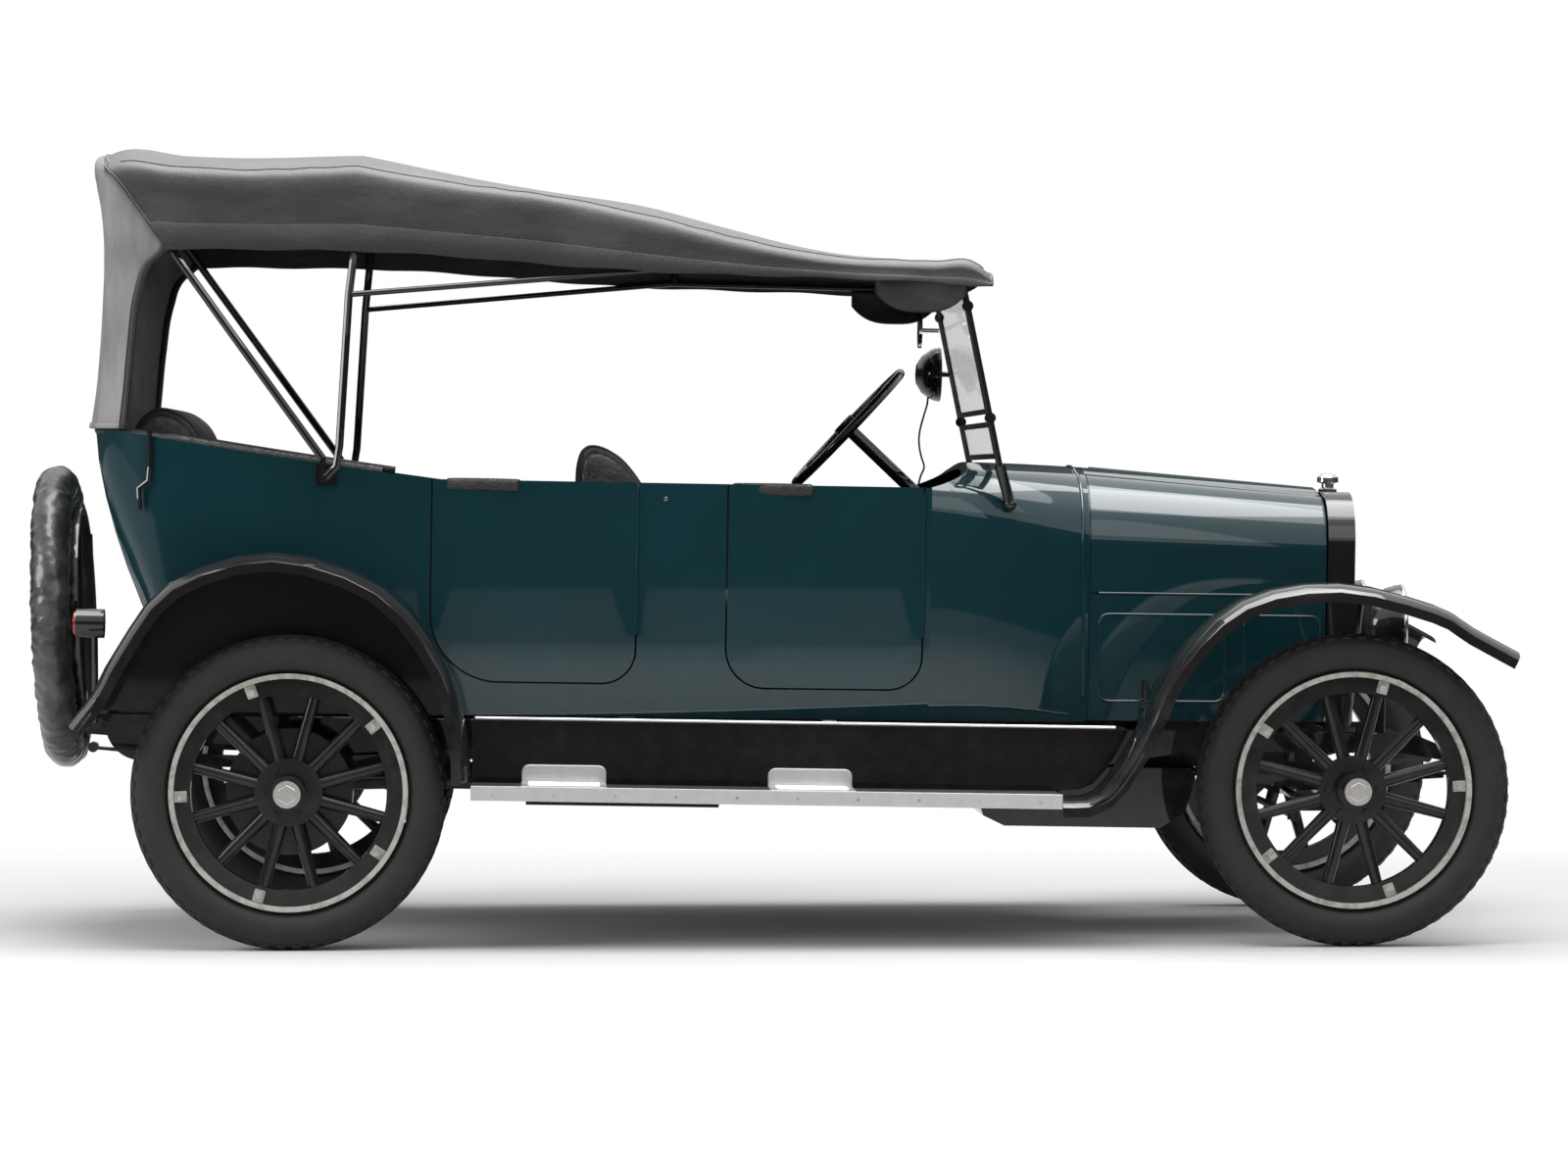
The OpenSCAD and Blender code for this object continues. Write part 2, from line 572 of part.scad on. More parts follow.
// Wheel in its own frame: the axle is z, outward is up
felloe_in = rim_r - rim_t - felloe_d;
module wheel(rear) {
  difference() {
    union() {
      rotate_extrude($fn = 128) translate([felloe_in, -22]) square([felloe_d + 1, 44]);
      rotate_extrude($fn = 128) polygon([[rim_r - rim_t, -40], [rim_r - 3, -44], [rim_r, -44], [rim_r, 44],
        [rim_r - 3, 44], [rim_r - rim_t, 40]]);
      for (k = [0 : spoke_count - 1]) rotate([0, 0, (k + 0.5) * 360 / spoke_count]) rotate([0, 90, 0])
        translate([0, 0, 60]) cylinder(h = felloe_in - 50, r1 = spoke_root_r, r2 = spoke_tip_r, $fn = 32);
      translate([0, 0, -22]) cylinder(h = 44, r = hub_flange_r, $fn = round_fn);
      translate([0, 0, rear ? -34 : -22]) cylinder(h = rear ? 109 : 97, r = 48, $fn = round_fn);
      translate([0, 0, 74]) cylinder(h = 46, r = hub_cap_r, $fn = round_fn);
      if (rear) drum();
    }
    translate([0, 0, -60]) cylinder(h = 60 + stub_end + 2, r = spindle_r + run_gap, $fn = round_fn);
  }
}
module drum() rotate_extrude($fn = 128)
  polygon([[40, -drum_out - 8], [drum_r - 8, -drum_out - 8], [drum_r - 8, -drum_in + 1],
    [drum_r, -drum_in + 1], [drum_r, -drum_out], [40, -drum_out]]);
tread_w = 80;
module tyre() rotate_extrude($fn = 128) difference() {
  union() {
    translate([tyre_od / 2 - tyre_w / 2, 0]) circle(d = tyre_w, $fn = round_fn);
    translate([tyre_od / 2 - 26, -tread_w / 2]) square([23, tread_w]);
  }
  translate([0, -tyre_w]) square([rim_r + seat_gap, 2 * tyre_w]);
}
module on_hub(front, side) translate([front ? front_axle_x : rear_axle_x, side * wheel_y, axle_z])
  rotate([-side * 90, 0, 0]) children();
module wheel_front_left() color("black") on_hub(true, 1) wheel(false);
module wheel_front_right() color("black") on_hub(true, -1) wheel(false);
module wheel_rear_left() color("black") on_hub(false, 1) wheel(true);
module wheel_rear_right() color("black") on_hub(false, -1) wheel(true);
module tyre_front_left() color("darkslategray") on_hub(true, 1) tyre();
module tyre_front_right() color("darkslategray") on_hub(true, -1) tyre();
module tyre_rear_left() color("darkslategray") on_hub(false, 1) tyre();
module tyre_rear_right() color("darkslategray") on_hub(false, -1) tyre();

// Wings: a crown line [x, z] and a section across it [y, lift]
front_wing_line = smooth([for (p = [[-802, 16], [-700, 34], [-600, 180], [-503, 384], [-321, 559],
  [-57, 611], [209, 555],
  [316, 496], [front_overhang - 9.5, 432]]) [front_x + p[0], p[1]]], 3);
rear_wing_line = smooth([[-590, 175], [-530, 255], [-468, 373], [-326, 561], [-49, 646], [244, 558],
  [420, 349],
  [476, 160], [486, board_h + 4]], 3);
inner_drop = 10;
function wing_section(inner, t) = let (o = wing_outer, m = (inner + wing_outer) / 2) [
  [inner, -inner_drop - t], [inner + 60, -t], [m, 6 - t], [o - 60, 2 - t], [o - 20 - t / 3, -6 - t],
  [o - 3 - t, -20 - t / 3], [o - t, -wing_skirt]];
function line_normal(line, k) = let (a = line[max(0, k - 1)], b = line[min(len(line) - 1, k + 1)],
  d = unit(b - a)) [-d[1], d[0]];
function wing_grid(line, inner, t) = [for (k = [0 : len(line) - 1]) let (n = line_normal(line, k))
  [for (s = wing_section(inner, t)) [line[k][0] + n[0] * s[1], s[0], line[k][1] + n[1] * s[1]]]];
module wing_shell(line, inner) grid_shell(wing_grid(line, inner, 0), wing_grid(line, inner, wing_t));
apron_front_x = front_x + 200;
module front_wing() {
  wing_shell(front_wing_line, wing_inner_front);
  foot = [for (p = front_wing_line) if (p[1] > ledge_h + 40 && p[0] < apron_front_x) p];
  foot_y = rail_y + rail_w / 2 + 2;
  function apron(t) = [for (p = foot) [[p[0], wing_inner_front + 3, p[1] - inner_drop - t],
    [p[0], foot_y, ledge_h - t]]];
  grid_shell(apron(0), apron(wing_t));
  rod([front_x + 30, rail_y, rail_top + 10], [front_x + 30, wing_inner_front + 60, 598], 12);
  translate([front_x, rail_y - 18, rail_top + seat_gap]) cube([60, 36, 16]);
}
module front_wings() color("black") sprung() pair() front_wing();
inner_plate_t = 3;
module rear_wing() {
  wing_shell(rear_wing_line, wing_inner_rear - inner_plate_t);
  edge = [for (k = [0 : len(rear_wing_line) - 1]) let (n = line_normal(rear_wing_line, k),
    d = inner_drop + wing_t / 2)
    if (rear_wing_line[k][1] > sill_h + 20) rear_wing_line[k] - n * d];
  side_plate(wing_inner_rear - inner_plate_t, wing_inner_rear)
    polygon(concat([[edge[0][0], sill_h]], edge, [[edge[len(edge) - 1][0], sill_h]]));
}
module rear_wings() color("black") sprung() pair() rear_wing();

// Running boards, splash aprons with their top ledge, aluminium steps and edging
module running_boards() color("black") sprung() pair()
  translate([board_rear_x, apron_y + 4, board_h - board_t])
    cube([board_front_x - board_rear_x, wing_outer - 4 - seat_gap - apron_y - 4, board_t]);
ledge_t = 4;
ledge_front_x = front_x - 604;
module splash_aprons() color("teal") sprung() pair() {
  low = [for (p = front_wing_line) if (p[0] > board_front_x + 1 && p[0] < ledge_front_x) [p[0], p[1] + 16]];
  side_plate(apron_y, apron_y + 3) polygon(concat([[board_rear_x, board_h - board_t],
    [board_front_x, board_h - board_t], [board_front_x, board_h + 6]], low,
    [[ledge_front_x, ledge_h], [board_rear_x, ledge_h]]));
  translate([board_rear_x, rail_y + rail_w / 2 + seat_gap, ledge_h - ledge_t])
    cube([ledge_front_x - board_rear_x, apron_y + 12 - rail_y - rail_w / 2, ledge_t]);
}
step_x = [[628, 860], [1302, 1534]];
module step_plates() color("silver") sprung() pair() {
  for (x = step_x) {
    translate([x[0], apron_y + 4, board_h + seat_gap]) cube([x[1] - x[0], wing_outer - 30 - apron_y, 3]);
    translate([x[0], apron_y + 3 + seat_gap, board_h + seat_gap]) cube([x[1] - x[0], 3, 48]);
  }
  translate([board_rear_x, wing_outer - 4, board_h - 36]) cube([board_front_x - board_rear_x, 4, 40]);
}

// Lamps: two head lamps, one spot lamp, one tail lamp
head_lamp = [front_x + 178, 365, 487];
head_lamp_r = 118;
lamp_depth = 116;
module lamp_cup(r, depth) rotate([0, 90, 0]) rotate_extrude($fn = round_fn)
  polygon([[0, -depth], [r * 0.35, -depth + 3], [r * 0.7, -depth * 0.72], [r * 0.93, -depth * 0.35],
    [r, -12], [r, 0], [r - 9, 0], [r - 9, -12],
    [r * 0.93 - 5, -depth * 0.35], [r * 0.7 - 5, -depth * 0.72 + 4], [r * 0.35 - 4, -depth + 9],
      [0, -depth + 6]]);
spot_lamp = [1838, post_half + 84, 1190];
tail_lamp = [-600, -470, 442];
module lamps() color("black") sprung() {
  pair() {
    translate(head_lamp) lamp_cup(head_lamp_r, lamp_depth);
    rod([head_lamp[0] - 50, rail_y, rail_front_bottom + 57.3],
      [head_lamp[0] - 50, head_lamp[1], head_lamp[2] - head_lamp_r + 12], 13);
  }
  translate(spot_lamp) lamp_cup(78, 70);
  post_x = screen_foot[0] - (spot_lamp[2] - screen_foot[1]) * tan(screen_lean);
  rod([spot_lamp[0] - 30, spot_lamp[1] - 60, spot_lamp[2]], [post_x, post_half + 30, spot_lamp[2]], 8);
  rod([post_x, post_half + 9 + seat_gap, spot_lamp[2]], [post_x, post_half + 34, spot_lamp[2]], 7);
  rod(tail_lamp, tail_lamp + [76, 0, 0], 40);
  rod(tail_lamp + [50, 0, -36], [tail_lamp[0] + 50, -rail_y - rail_w / 2 - 12, 168], 9);
  translate([tail_lamp[0] + 30, -rail_y - rail_w / 2 - seat_gap - 18, 146]) cube([40, 18, 36]);
}
module headlamp_glasses() color("lightblue") sprung() pair() translate(head_lamp) rotate([0, 90, 0])
  translate([0, 0, -9]) cylinder(h = 7, r = head_lamp_r - 9 - seat_gap, $fn = round_fn);
module rear_view_mirror() color("silver") sprung() {
  translate([1770, post_half, 1318]) rotate([0, 90, 0]) cylinder(h = 9, r = 53, $fn = round_fn);
  rod([1774, post_half, 1318], [1831, post_half, 1318], 6);
}

// Spare rim, its cover and the carrier, all in the tilted frame of the spare
spare_r = tyre_od / 2;
spare_sec_r = 57;
spare_mid_r = spare_r - spare_sec_r;
spare_tilt = 2.9;
spare_mid = [-rear_overhang + spare_sec_r + 4.35, 0, 448];
module on_spare() sprung() translate(spare_mid) rotate([0, -spare_tilt, 0]) rotate([0, 90, 0]) children();
module spare_cover() color("black") on_spare() rotate_extrude($fn = 96) difference() {
  translate([spare_mid_r, 0]) circle(spare_sec_r, $fn = round_fn);
  translate([0, -spare_r]) square([rim_r + seat_gap, 2 * spare_r]);
}
module spare_rim() color("gray") on_spare() rotate_extrude($fn = 96) translate([rim_r - rim_t, -42])
  square([rim_t, 84]);
module spare_carrier() color("black") {
  on_spare() {
    difference() {
      translate([0, 0, -18]) cylinder(h = 88, r = rim_r - rim_t - seat_gap, $fn = 96);
      translate([0, 0, -19]) cylinder(h = 90, r = rim_r - rim_t - seat_gap - 24, $fn = 96);
    }
    for (y = [-190, 160]) translate([-229, y, 60]) cube([539, 30, 16]);
  }
  sprung() for (y = [-186, 164]) translate([rail_rear_x - 26, y, rail_front_bottom + 6])
    cube([26 - seat_gap, 22, 40]);
}

// Floor, seats and instrument board
module floor_boards() color("saddlebrown") sprung() translate([0, 0, floor_h]) linear_extrude(floor_t)
  polygon([[-50, -556], [-50, 556], [100, 572], [900, 546], [1744, 470], [1890, 444], [2040, 420],
    [firewall_x - 15, 392], [firewall_x - 15, -392], [2040, -420],
    [1890, -444], [1744, -470], [900, -546], [100, -572]]);
seat_floor = floor_h + floor_t + seat_gap;
seat_top = 600;
module rear_seat() color("black") sprung() {
  side_plate(-555, 555) polygon([[-100, seat_floor], [190, seat_floor], [205, seat_top - 40],
    [190, seat_top], [-300, seat_top], [-300, 500], [-150, 340]]);
  side_plate(-478, 478) polygon([[-410, seat_top + seat_gap], [-158, seat_top + seat_gap], [-165, 650],
    [-265, 990], [-330, 1044], [-410, 1058],
    [-480, 990], [-466, 800]]);
}
module front_seat() color("black") sprung() {
  side_plate(-500, 500) polygon([[800, seat_floor], [1400, seat_floor], [1430, seat_top - 80],
    [1410, seat_top - 40], [790, seat_top - 40]]);
  side_plate(-500, 500) polygon([[790, seat_top - 40 + seat_gap], [1020, seat_top - 40 + seat_gap],
    [985, 800], [960, 860], [900, 935], [830, 972],
    [775, 968], [752, 900], [764, 750]]);
}
board_x = 1954;
module instrument_board() color("saddlebrown") sprung() intersection() {
  front_plate(board_x, board_x + 16) translate([-600, 700]) square([1200, 300]);
  front_plate(board_x - 1, board_x + 17)
    polygon([for (p = full_section(0, 484, scuttle_top_h - 1.5, 156, 0, scuttle_t + 1, sill_h)) [p[1],
      p[2]]]);
}

// Windscreen in its leaning frame: two panes between two posts
pane_half = post_half - 22;
pane_border = 15;
lower_pane = [20, 124];
upper_pane = [146, 486];
pane_t = 14;
glass_t = 5;
pivot_u = [134, 448];
module on_screen() sprung() translate([screen_foot[0], 0, screen_foot[1]]) rotate([0, -screen_lean, 0])
  children();
module windscreen_frame() color("black") {
  on_screen() {
    pair() translate([0, post_half, -6]) cylinder(h = screen_h + 6, r = 9, $fn = 32);
    for (p = [lower_pane, upper_pane]) difference() {
      front_plate(-pane_t / 2, pane_t / 2) translate([-pane_half, p[0]])
        square([2 * pane_half, p[1] - p[0]]);
      front_plate(-pane_t, pane_t) translate([-pane_half + pane_border, p[0] + pane_border])
        square([2 * (pane_half - pane_border), p[1] - p[0] - 2 * pane_border]);
    }
    pair() {
      for (u = [110, 160, pivot_u[1]]) translate([0, pane_half - 6, u]) rotate([-90, 0, 0])
        cylinder(h = 30, r = 6, $fn = 32);
      for (u = pivot_u) translate([0, post_half - 4, u]) rotate([-90, 0, 0])
        cylinder(h = 24, r = 15, $fn = 32);
    }
  }
  sprung() pair() screen_foot_bracket(0);
}
module windscreen_glass() color("lightblue") on_screen() for (p = [lower_pane, upper_pane])
  front_plate(-glass_t / 2, glass_t / 2) translate([-pane_half + pane_border + seat_gap,
    p[0] + pane_border + seat_gap])
    square([2 * (pane_half - pane_border - seat_gap), p[1] - p[0] - 2 * (pane_border + seat_gap)]);

// Steering column with its box on the left rail, and the levers on the floor
column_end = 1040;
module steering_column() color("black") sprung() {
  steering_tube(19, 4, column_end);
  translate([2225, 312, rail_top + seat_gap]) cube([100, 78, 90]);
}
module steering_wheel() color("black") sprung() translate(wheel_hub_mid) rotate([0, column_lean - 90, 0]) {
  rotate_extrude($fn = 96) translate([steering_wheel_d / 2 - 13, 0]) circle(13, $fn = 32);
  translate([0, 0, -3]) cylinder(h = 26, r = 34, $fn = round_fn);
  for (k = [0 : 3]) rotate([0, 0, 45 + 90 * k]) translate([20, -11, 0])
    cube([steering_wheel_d / 2 - 30, 22, 9]);
}
module driver_controls() color("black") sprung() {
  for (p = [[1650, 10, 1560, 20, 590], [1700, -70, 1660, -80, 640]]) {
    bent_bar([[p[0], p[1], seat_floor], [p[0], p[1], seat_floor + 40], [p[2], p[3], p[4]]], 9, [0, 1, 0.01]);
    translate([p[2], p[3], p[4]]) sphere(20, $fn = 32);
  }
}

// Engine and gearbox, underpan, exhaust, tank
pan_top = 80;
module engine() color("dimgray") sprung() {
  pair() for (x = [2320, 2660]) translate([x, 150, rail_front_bottom + 6])
    cube([60, rail_y - rail_w / 2 - seat_gap - 150, 40]);
  side_plate(-185, 185) polygon([[1530, -10], [1888, -10], [1888, pan_top + seat_gap],
    [2780, pan_top + seat_gap], [2780, 640], [2720, 690],
  [2290, 690], [2230, 640], [2230, 205], [1530, 205]]);
}
module underpan() color("black") sprung() side_plate(-300, 300)
  polygon([[1890, 30], [1920, -60], [1980, -88], [2420, -88], [2490, -40], [2520, pan_top],
  [1890, pan_top]]);
module exhaust() color("dimgray") sprung() {
  rod([640, -255, 10], [1180, -255, 10], 62);
  rod([250, -255, 10], [660, -255, 10], 20);
  rod([1160, -255, 10], [1850, -255, 10], 20);
  for (x = [922]) rod([x, -255, 60], [x, -255, rail_front_bottom + 3 - seat_gap], 9);
}
module fuel_tank() color("black") sprung() {
  translate([-428, 0, 160]) rotate([90, 0, 0]) cylinder(h = 660, r = 100, center = true, $fn = round_fn);
  pair() translate([-450, 320, 140]) cube([44, rail_y - rail_w / 2 - seat_gap - 320, 40]);
}

// Top: stations of x, crown, shoulder and lower edge
top_table = [[-571, 1745, 1682, 1467], [-541, 1757, 1690, 1467], [-331, 1752, 1687, 1467],
  [-155, 1752, 1683, 1470], [157, 1760, 1695, 1472], [407, 1715, 1661, 1463],
  [676, 1672, 1634, 1446], [927, 1637, 1586, 1433], [1186, 1575, 1527, 1428], [1456, 1518, 1487, 1424],
    [1724, 1490, 1476, 1416], [1858, 1480, 1468, 1411],
  [1891, 1455, 1441, 1412]];
valance_flare = 10;
function top_half(x) = top_rear_half + (top_front_half - top_rear_half) * (x + 541) / 2432;
slant_end_x = -331;
slant = 190;
function slant_at(x, f) = x < slant_end_x ? slant * f * (slant_end_x - x) / (slant_end_x + 541) : 0;
function cover_z(s, f) = s[2] + (s[1] - s[2]) * (1 - pow(f, 2.4));
function cover_half_row(s, t) = let (h = top_half(s[0])) concat(
  [for (g = [1, 0.5, 0.12]) [s[0] + slant_at(s[0], 0.3 + 0.7 * g), h + valance_flare * g - t,
    s[2] - 12 + (s[3] - s[2] + 12) * g]],
  [for (f = [0.97, 0.88, 0.7, 0.48, 0.24]) [s[0] + slant_at(s[0], 0.22 * f), h * f - t * pow(f, 8),
    cover_z(s, f) - t - (f > 0.95 ? 3 : 0)]]);
function cover_row(s, t) = let (left = cover_half_row(s, t), n = len(left))
  concat(left, [[s[0], 0, s[1] - t]], [for (k = [n - 1 : -1 : 0]) [left[k][0], -left[k][1], left[k][2]]]);
module top_cover() color("black") sprung() grid_shell([for (s = top_table) cover_row(s, 0)],
  [for (s = top_table) cover_row(s, cloth_t)]);

// Rear curtain: levels of z, back x, side edge x, half width and corner radius
curtain_table = [[978, -573, -463, body_half + 7, 238], [1079, -560, -454, 634, 220],
  [1213, -548, -443, 632, 190], [1347, -538, -424, 634, 150],
  [1428, -534, -393, 638, 120], [1469, -533, -350, 646, 100], [1560, -540, -402, 642, 90],
    [1645, -556, -448, 632, 70], [1664, -558, -460, 618, 60]];
function curtain_half(s, t) = let (c = [s[1] + s[4], s[3] - s[4]], r = s[4] - t, on_arc = s[2] < c[0],
    a0 = on_arc ? acos((s[2] - c[0]) / s[4]) : 90)
  concat(on_arc ? [] : [[s[2], s[3] - t, s[0]]],
    [for (k = [(on_arc ? 0 : 1) : 7]) let (a = on_arc ? a0 + (180 - a0) * k / 7 : 90 + 90 * (k - 1) / 6)
      [c[0] + r * cos(a), c[1] + r * sin(a), s[0]]]);
function curtain_row(s, t) = let (left = curtain_half(s, t), n = len(left))
  concat(left, [[s[1] + t, 0, s[0]]], [for (k = [n - 1 : -1 : 0]) [left[k][0], -left[k][1], left[k][2]]]);
module rear_curtain() color("dimgray") sprung()
  grid_shell([for (s = curtain_table) curtain_row(s, 0)],
  [for (s = curtain_table) curtain_row(s, cloth_t)]);

// Bows and irons that carry the top
function under_cover(x, f, drop) = let (s = [x, lerp_table(top_table, x, 1), lerp_table(top_table, x, 2)],
  h = top_half(x))
  [x, h * f - cloth_t * pow(f, 8), cover_z(s, f) - cloth_t - bow_r - drop];
function bow_over(x, drop) = [for (f = [0.88, 0.7, 0.48, 0.24, 0, -0.24, -0.48, -0.7,
  -0.88]) let (p = under_cover(x, abs(f), drop)) [x, p[1] * sign(f), p[2]]];
function mirrored(path) = [for (k = [len(path) - 1 : -1 : 0]) [path[k][0], -path[k][1], path[k][2]]];
bow_y = body_half + 34;
rear_leg = [[75, bow_y, 905], [-200, bow_y - 8, 1272], [-334, 632, 1452], [-452, 612, 1606]];
mid_leg = [[79, bow_y, 849], [112, bow_y, 885], [120, bow_y, 940], [139, bow_y - 6, 1350],
  [150, 626, 1470], [155, 604, 1600]];
hook_path = [[-397, 2.8, 975], [-394, 2.8, 880], [-398, 2.8, 836], [-424, 5.8, 816], [-420, 7.8, 757]];
module top_bows() color("black") sprung() {
  bent_bar(concat(rear_leg, bow_over(-505, 5), mirrored(rear_leg)), bow_r, [0, 1, 0.01]);
  bent_bar(concat(mid_leg, bow_over(157, 0.6), mirrored(mid_leg)), bow_r, [0, 1, 0.01]);
  bent_bar(concat([[1050, 588, 1444]], bow_over(1050, 0.6), [[1050, -588, 1444]]), bow_r, [0, 1, 0.01]);
  translate([1812, -572, 1426]) cube([40, 1144, 24]);
  pair() {
    rod([139, bow_y - 8, 1352], [1050, 588, 1444], 8);
    rod([1046, 586, 1442], [1820, 560, 1436], 7);
    translate([58, body_half + seat_gap, 832]) cube([56, 6, 58]);
    rod([79, body_half + 4, 849], [79, bow_y + 14, 849], 10);
    translate([66, bow_y - 6, 849]) cube([18, 8, 60]);
    bent_bar([for (p = hook_path) [p[0], body_half - p[1], p[2]]], 7, [0, 1, 0]);
  }
}

frame();
springs();
front_axle();
rear_axle();
engine();
underpan();
exhaust();
fuel_tank();
radiator_shell();
radiator_core();
radiator_cap();
bonnet_top_panels();
bonnet_side_panels();
scuttle();
body_sides();
body_tail();
floor_boards();
instrument_board();
front_seat();
rear_seat();
windscreen_frame();
windscreen_glass();
steering_column();
driver_controls();
top_cover();
rear_curtain();
top_bows();
front_wings();
rear_wings();
running_boards();
splash_aprons();
step_plates();
lamps();
headlamp_glasses();
rear_view_mirror();
spare_carrier();
spare_rim();
spare_cover();
front_door_left();
front_door_right();
rear_door_left();
rear_door_right();
steering_wheel();
knuckle_left();
knuckle_right();
tie_rod();
wheel_front_left();
wheel_front_right();
wheel_rear_left();
wheel_rear_right();
tyre_front_left();
tyre_front_right();
tyre_rear_left();
tyre_rear_right();
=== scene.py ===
import json
import math

import bpy
import numpy as np
from mathutils import Matrix, Vector, noise

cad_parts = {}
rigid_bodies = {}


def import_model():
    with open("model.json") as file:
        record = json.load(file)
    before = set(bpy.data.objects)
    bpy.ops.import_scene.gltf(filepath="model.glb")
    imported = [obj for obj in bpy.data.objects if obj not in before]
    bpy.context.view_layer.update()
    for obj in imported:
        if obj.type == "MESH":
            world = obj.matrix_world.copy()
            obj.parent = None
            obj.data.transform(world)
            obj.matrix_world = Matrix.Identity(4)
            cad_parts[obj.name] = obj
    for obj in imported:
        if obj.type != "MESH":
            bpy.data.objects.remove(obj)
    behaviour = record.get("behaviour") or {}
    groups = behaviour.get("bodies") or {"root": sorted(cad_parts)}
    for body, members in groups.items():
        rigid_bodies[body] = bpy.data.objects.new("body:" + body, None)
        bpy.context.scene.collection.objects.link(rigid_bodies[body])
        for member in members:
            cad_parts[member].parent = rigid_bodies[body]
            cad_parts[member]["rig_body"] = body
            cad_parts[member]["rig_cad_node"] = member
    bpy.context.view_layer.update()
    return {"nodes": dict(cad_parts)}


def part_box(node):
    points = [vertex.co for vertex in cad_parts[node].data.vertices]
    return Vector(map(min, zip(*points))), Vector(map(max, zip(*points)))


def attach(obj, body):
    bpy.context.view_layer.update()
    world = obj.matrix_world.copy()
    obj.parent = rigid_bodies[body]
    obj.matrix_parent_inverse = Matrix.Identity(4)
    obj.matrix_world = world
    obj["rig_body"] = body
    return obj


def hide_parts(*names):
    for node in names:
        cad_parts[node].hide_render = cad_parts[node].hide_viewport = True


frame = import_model()

# Studio: a pale floor under a wide overhead light, with weaker lights in front and behind.
# The floor fades to white away from the car, as a swept paper backdrop does.
# Only the gloss sees the dark drapes round the room and the softbox above.
scene = bpy.context.scene
scene.view_settings.view_transform = "Standard"


class Shade:
    """A socket of a material, so that sums and products of sockets add their own nodes."""

    def __init__(self, tree, socket):
        self.tree = tree
        self.socket = socket

    def plug(self, target, value):
        if isinstance(value, Shade):
            self.tree.links.new(value.socket, target)
        elif isinstance(value, (tuple, list)) and len(value) == 3 and len(target.default_value) == 4:
            target.default_value = (*value, 1)
        else:
            target.default_value = value

    def node(self, kind, settings, sockets, out=0):
        made = self.tree.nodes.new(kind)
        for key, value in settings.items():
            setattr(made, key, value)
        for key, value in sockets.items():
            self.plug(made.inputs[key], value)
        return Shade(self.tree, made.outputs[out] if made.outputs else None)

    def maths(self, operation, first, second=0.0):
        return self.node("ShaderNodeMath", {"operation": operation}, {0: first, 1: second})

    def __add__(self, other):
        return self.maths("ADD", self, other)

    def __radd__(self, other):
        return self.maths("ADD", other, self)

    def __rsub__(self, other):
        return self.maths("SUBTRACT", other, self)

    def __mul__(self, other):
        return self.maths("MULTIPLY", self, other)

    def sine(self):
        return self.maths("SINE", self)

    def step(self, low, high):
        return self.node("ShaderNodeMapRange", {"interpolation_type": "SMOOTHSTEP"},
                         {"Value": self, "From Min": low, "From Max": high})

    def blend(self, first, second):
        return self.node("ShaderNodeMix", {"data_type": "RGBA"}, {0: self, 6: first, 7: second}, 2)

    def part(self, axis):
        return self.node("ShaderNodeSeparateXYZ", {}, {"Vector": self}, axis)

    def scaled(self, sizes):
        return self.node("ShaderNodeMapping", {}, {"Vector": self, "Scale": sizes})

    def grain(self, size, detail=3.0, rough=0.5):
        return self.node("ShaderNodeTexNoise", {},
                         {"Vector": self, "Scale": 1 / size, "Detail": detail, "Roughness": rough})

    def cells(self, scale, feature="F1"):
        return self.node("ShaderNodeTexVoronoi", {"feature": feature}, {"Vector": self, "Scale": scale})

    def bump(self, depth):
        return self.node("ShaderNodeBump", {}, {"Height": self, "Distance": depth, "Strength": 1.0})


def new_finish(name):
    """A new material, and the place of each of its points on the piece."""
    finish = bpy.data.materials.new(name)
    finish.use_nodes = True
    finish.node_tree.nodes.clear()
    return finish, Shade(finish.node_tree, None).node("ShaderNodeTexCoord", {}, {}, 3)


def surface(where, **sockets):
    named = {key.replace("_", " "): value for key, value in sockets.items()}
    shader = where.node("ShaderNodeBsdfPrincipled", {}, named)
    where.node("ShaderNodeOutputMaterial", {}, {"Surface": shader})


def fresh(add, name, **settings):
    bpy.ops.object.select_all(action="DESELECT")
    add(**settings)
    made = bpy.context.active_object
    made.name = name
    return made


def gloss_only(piece, finish):
    for ray in ("camera", "diffuse", "shadow", "transmission"):
        setattr(piece, "visible_" + ray, False)
    piece.data.materials.append(finish)


floor = fresh(bpy.ops.mesh.primitive_plane_add, "floor", size=60, location=(0, 0, 0))
floor_paper, where = new_finish("floor_paper")
across = where.node("ShaderNodeVectorMath", {"operation": "LENGTH"},
                    {0: where.node("ShaderNodeVectorMath", {"operation": "MULTIPLY"},
                                   {0: where, 1: (0.45, 1.0, 0.0)})}, 1)
far = across.step(1.5, 3.6)
rays = where.node("ShaderNodeLightPath", {}, {})
seen = Shade(rays.tree, rays.socket.node.outputs["Is Camera Ray"])
paper = where.node("ShaderNodeBsdfDiffuse", {}, {"Color": (0.86, 0.86, 0.86)})
white = where.node("ShaderNodeEmission", {}, {"Color": (1.0, 1.0, 1.0), "Strength": 1.0})
both = where.node("ShaderNodeMixShader", {}, {0: far * seen, 1: paper, 2: white})
where.node("ShaderNodeOutputMaterial", {}, {"Surface": both})
floor.data.materials.append(floor_paper)

drape = fresh(bpy.ops.mesh.primitive_cylinder_add, "drape", vertices=64, radius=19, depth=6.5,
              end_fill_type="NOTHING", location=(0, 0, 3.3))
drape_cloth, where = new_finish("drape_cloth")
surface(where, Base_Color=(0.03, 0.03, 0.032), Roughness=0.9)
gloss_only(drape, drape_cloth)

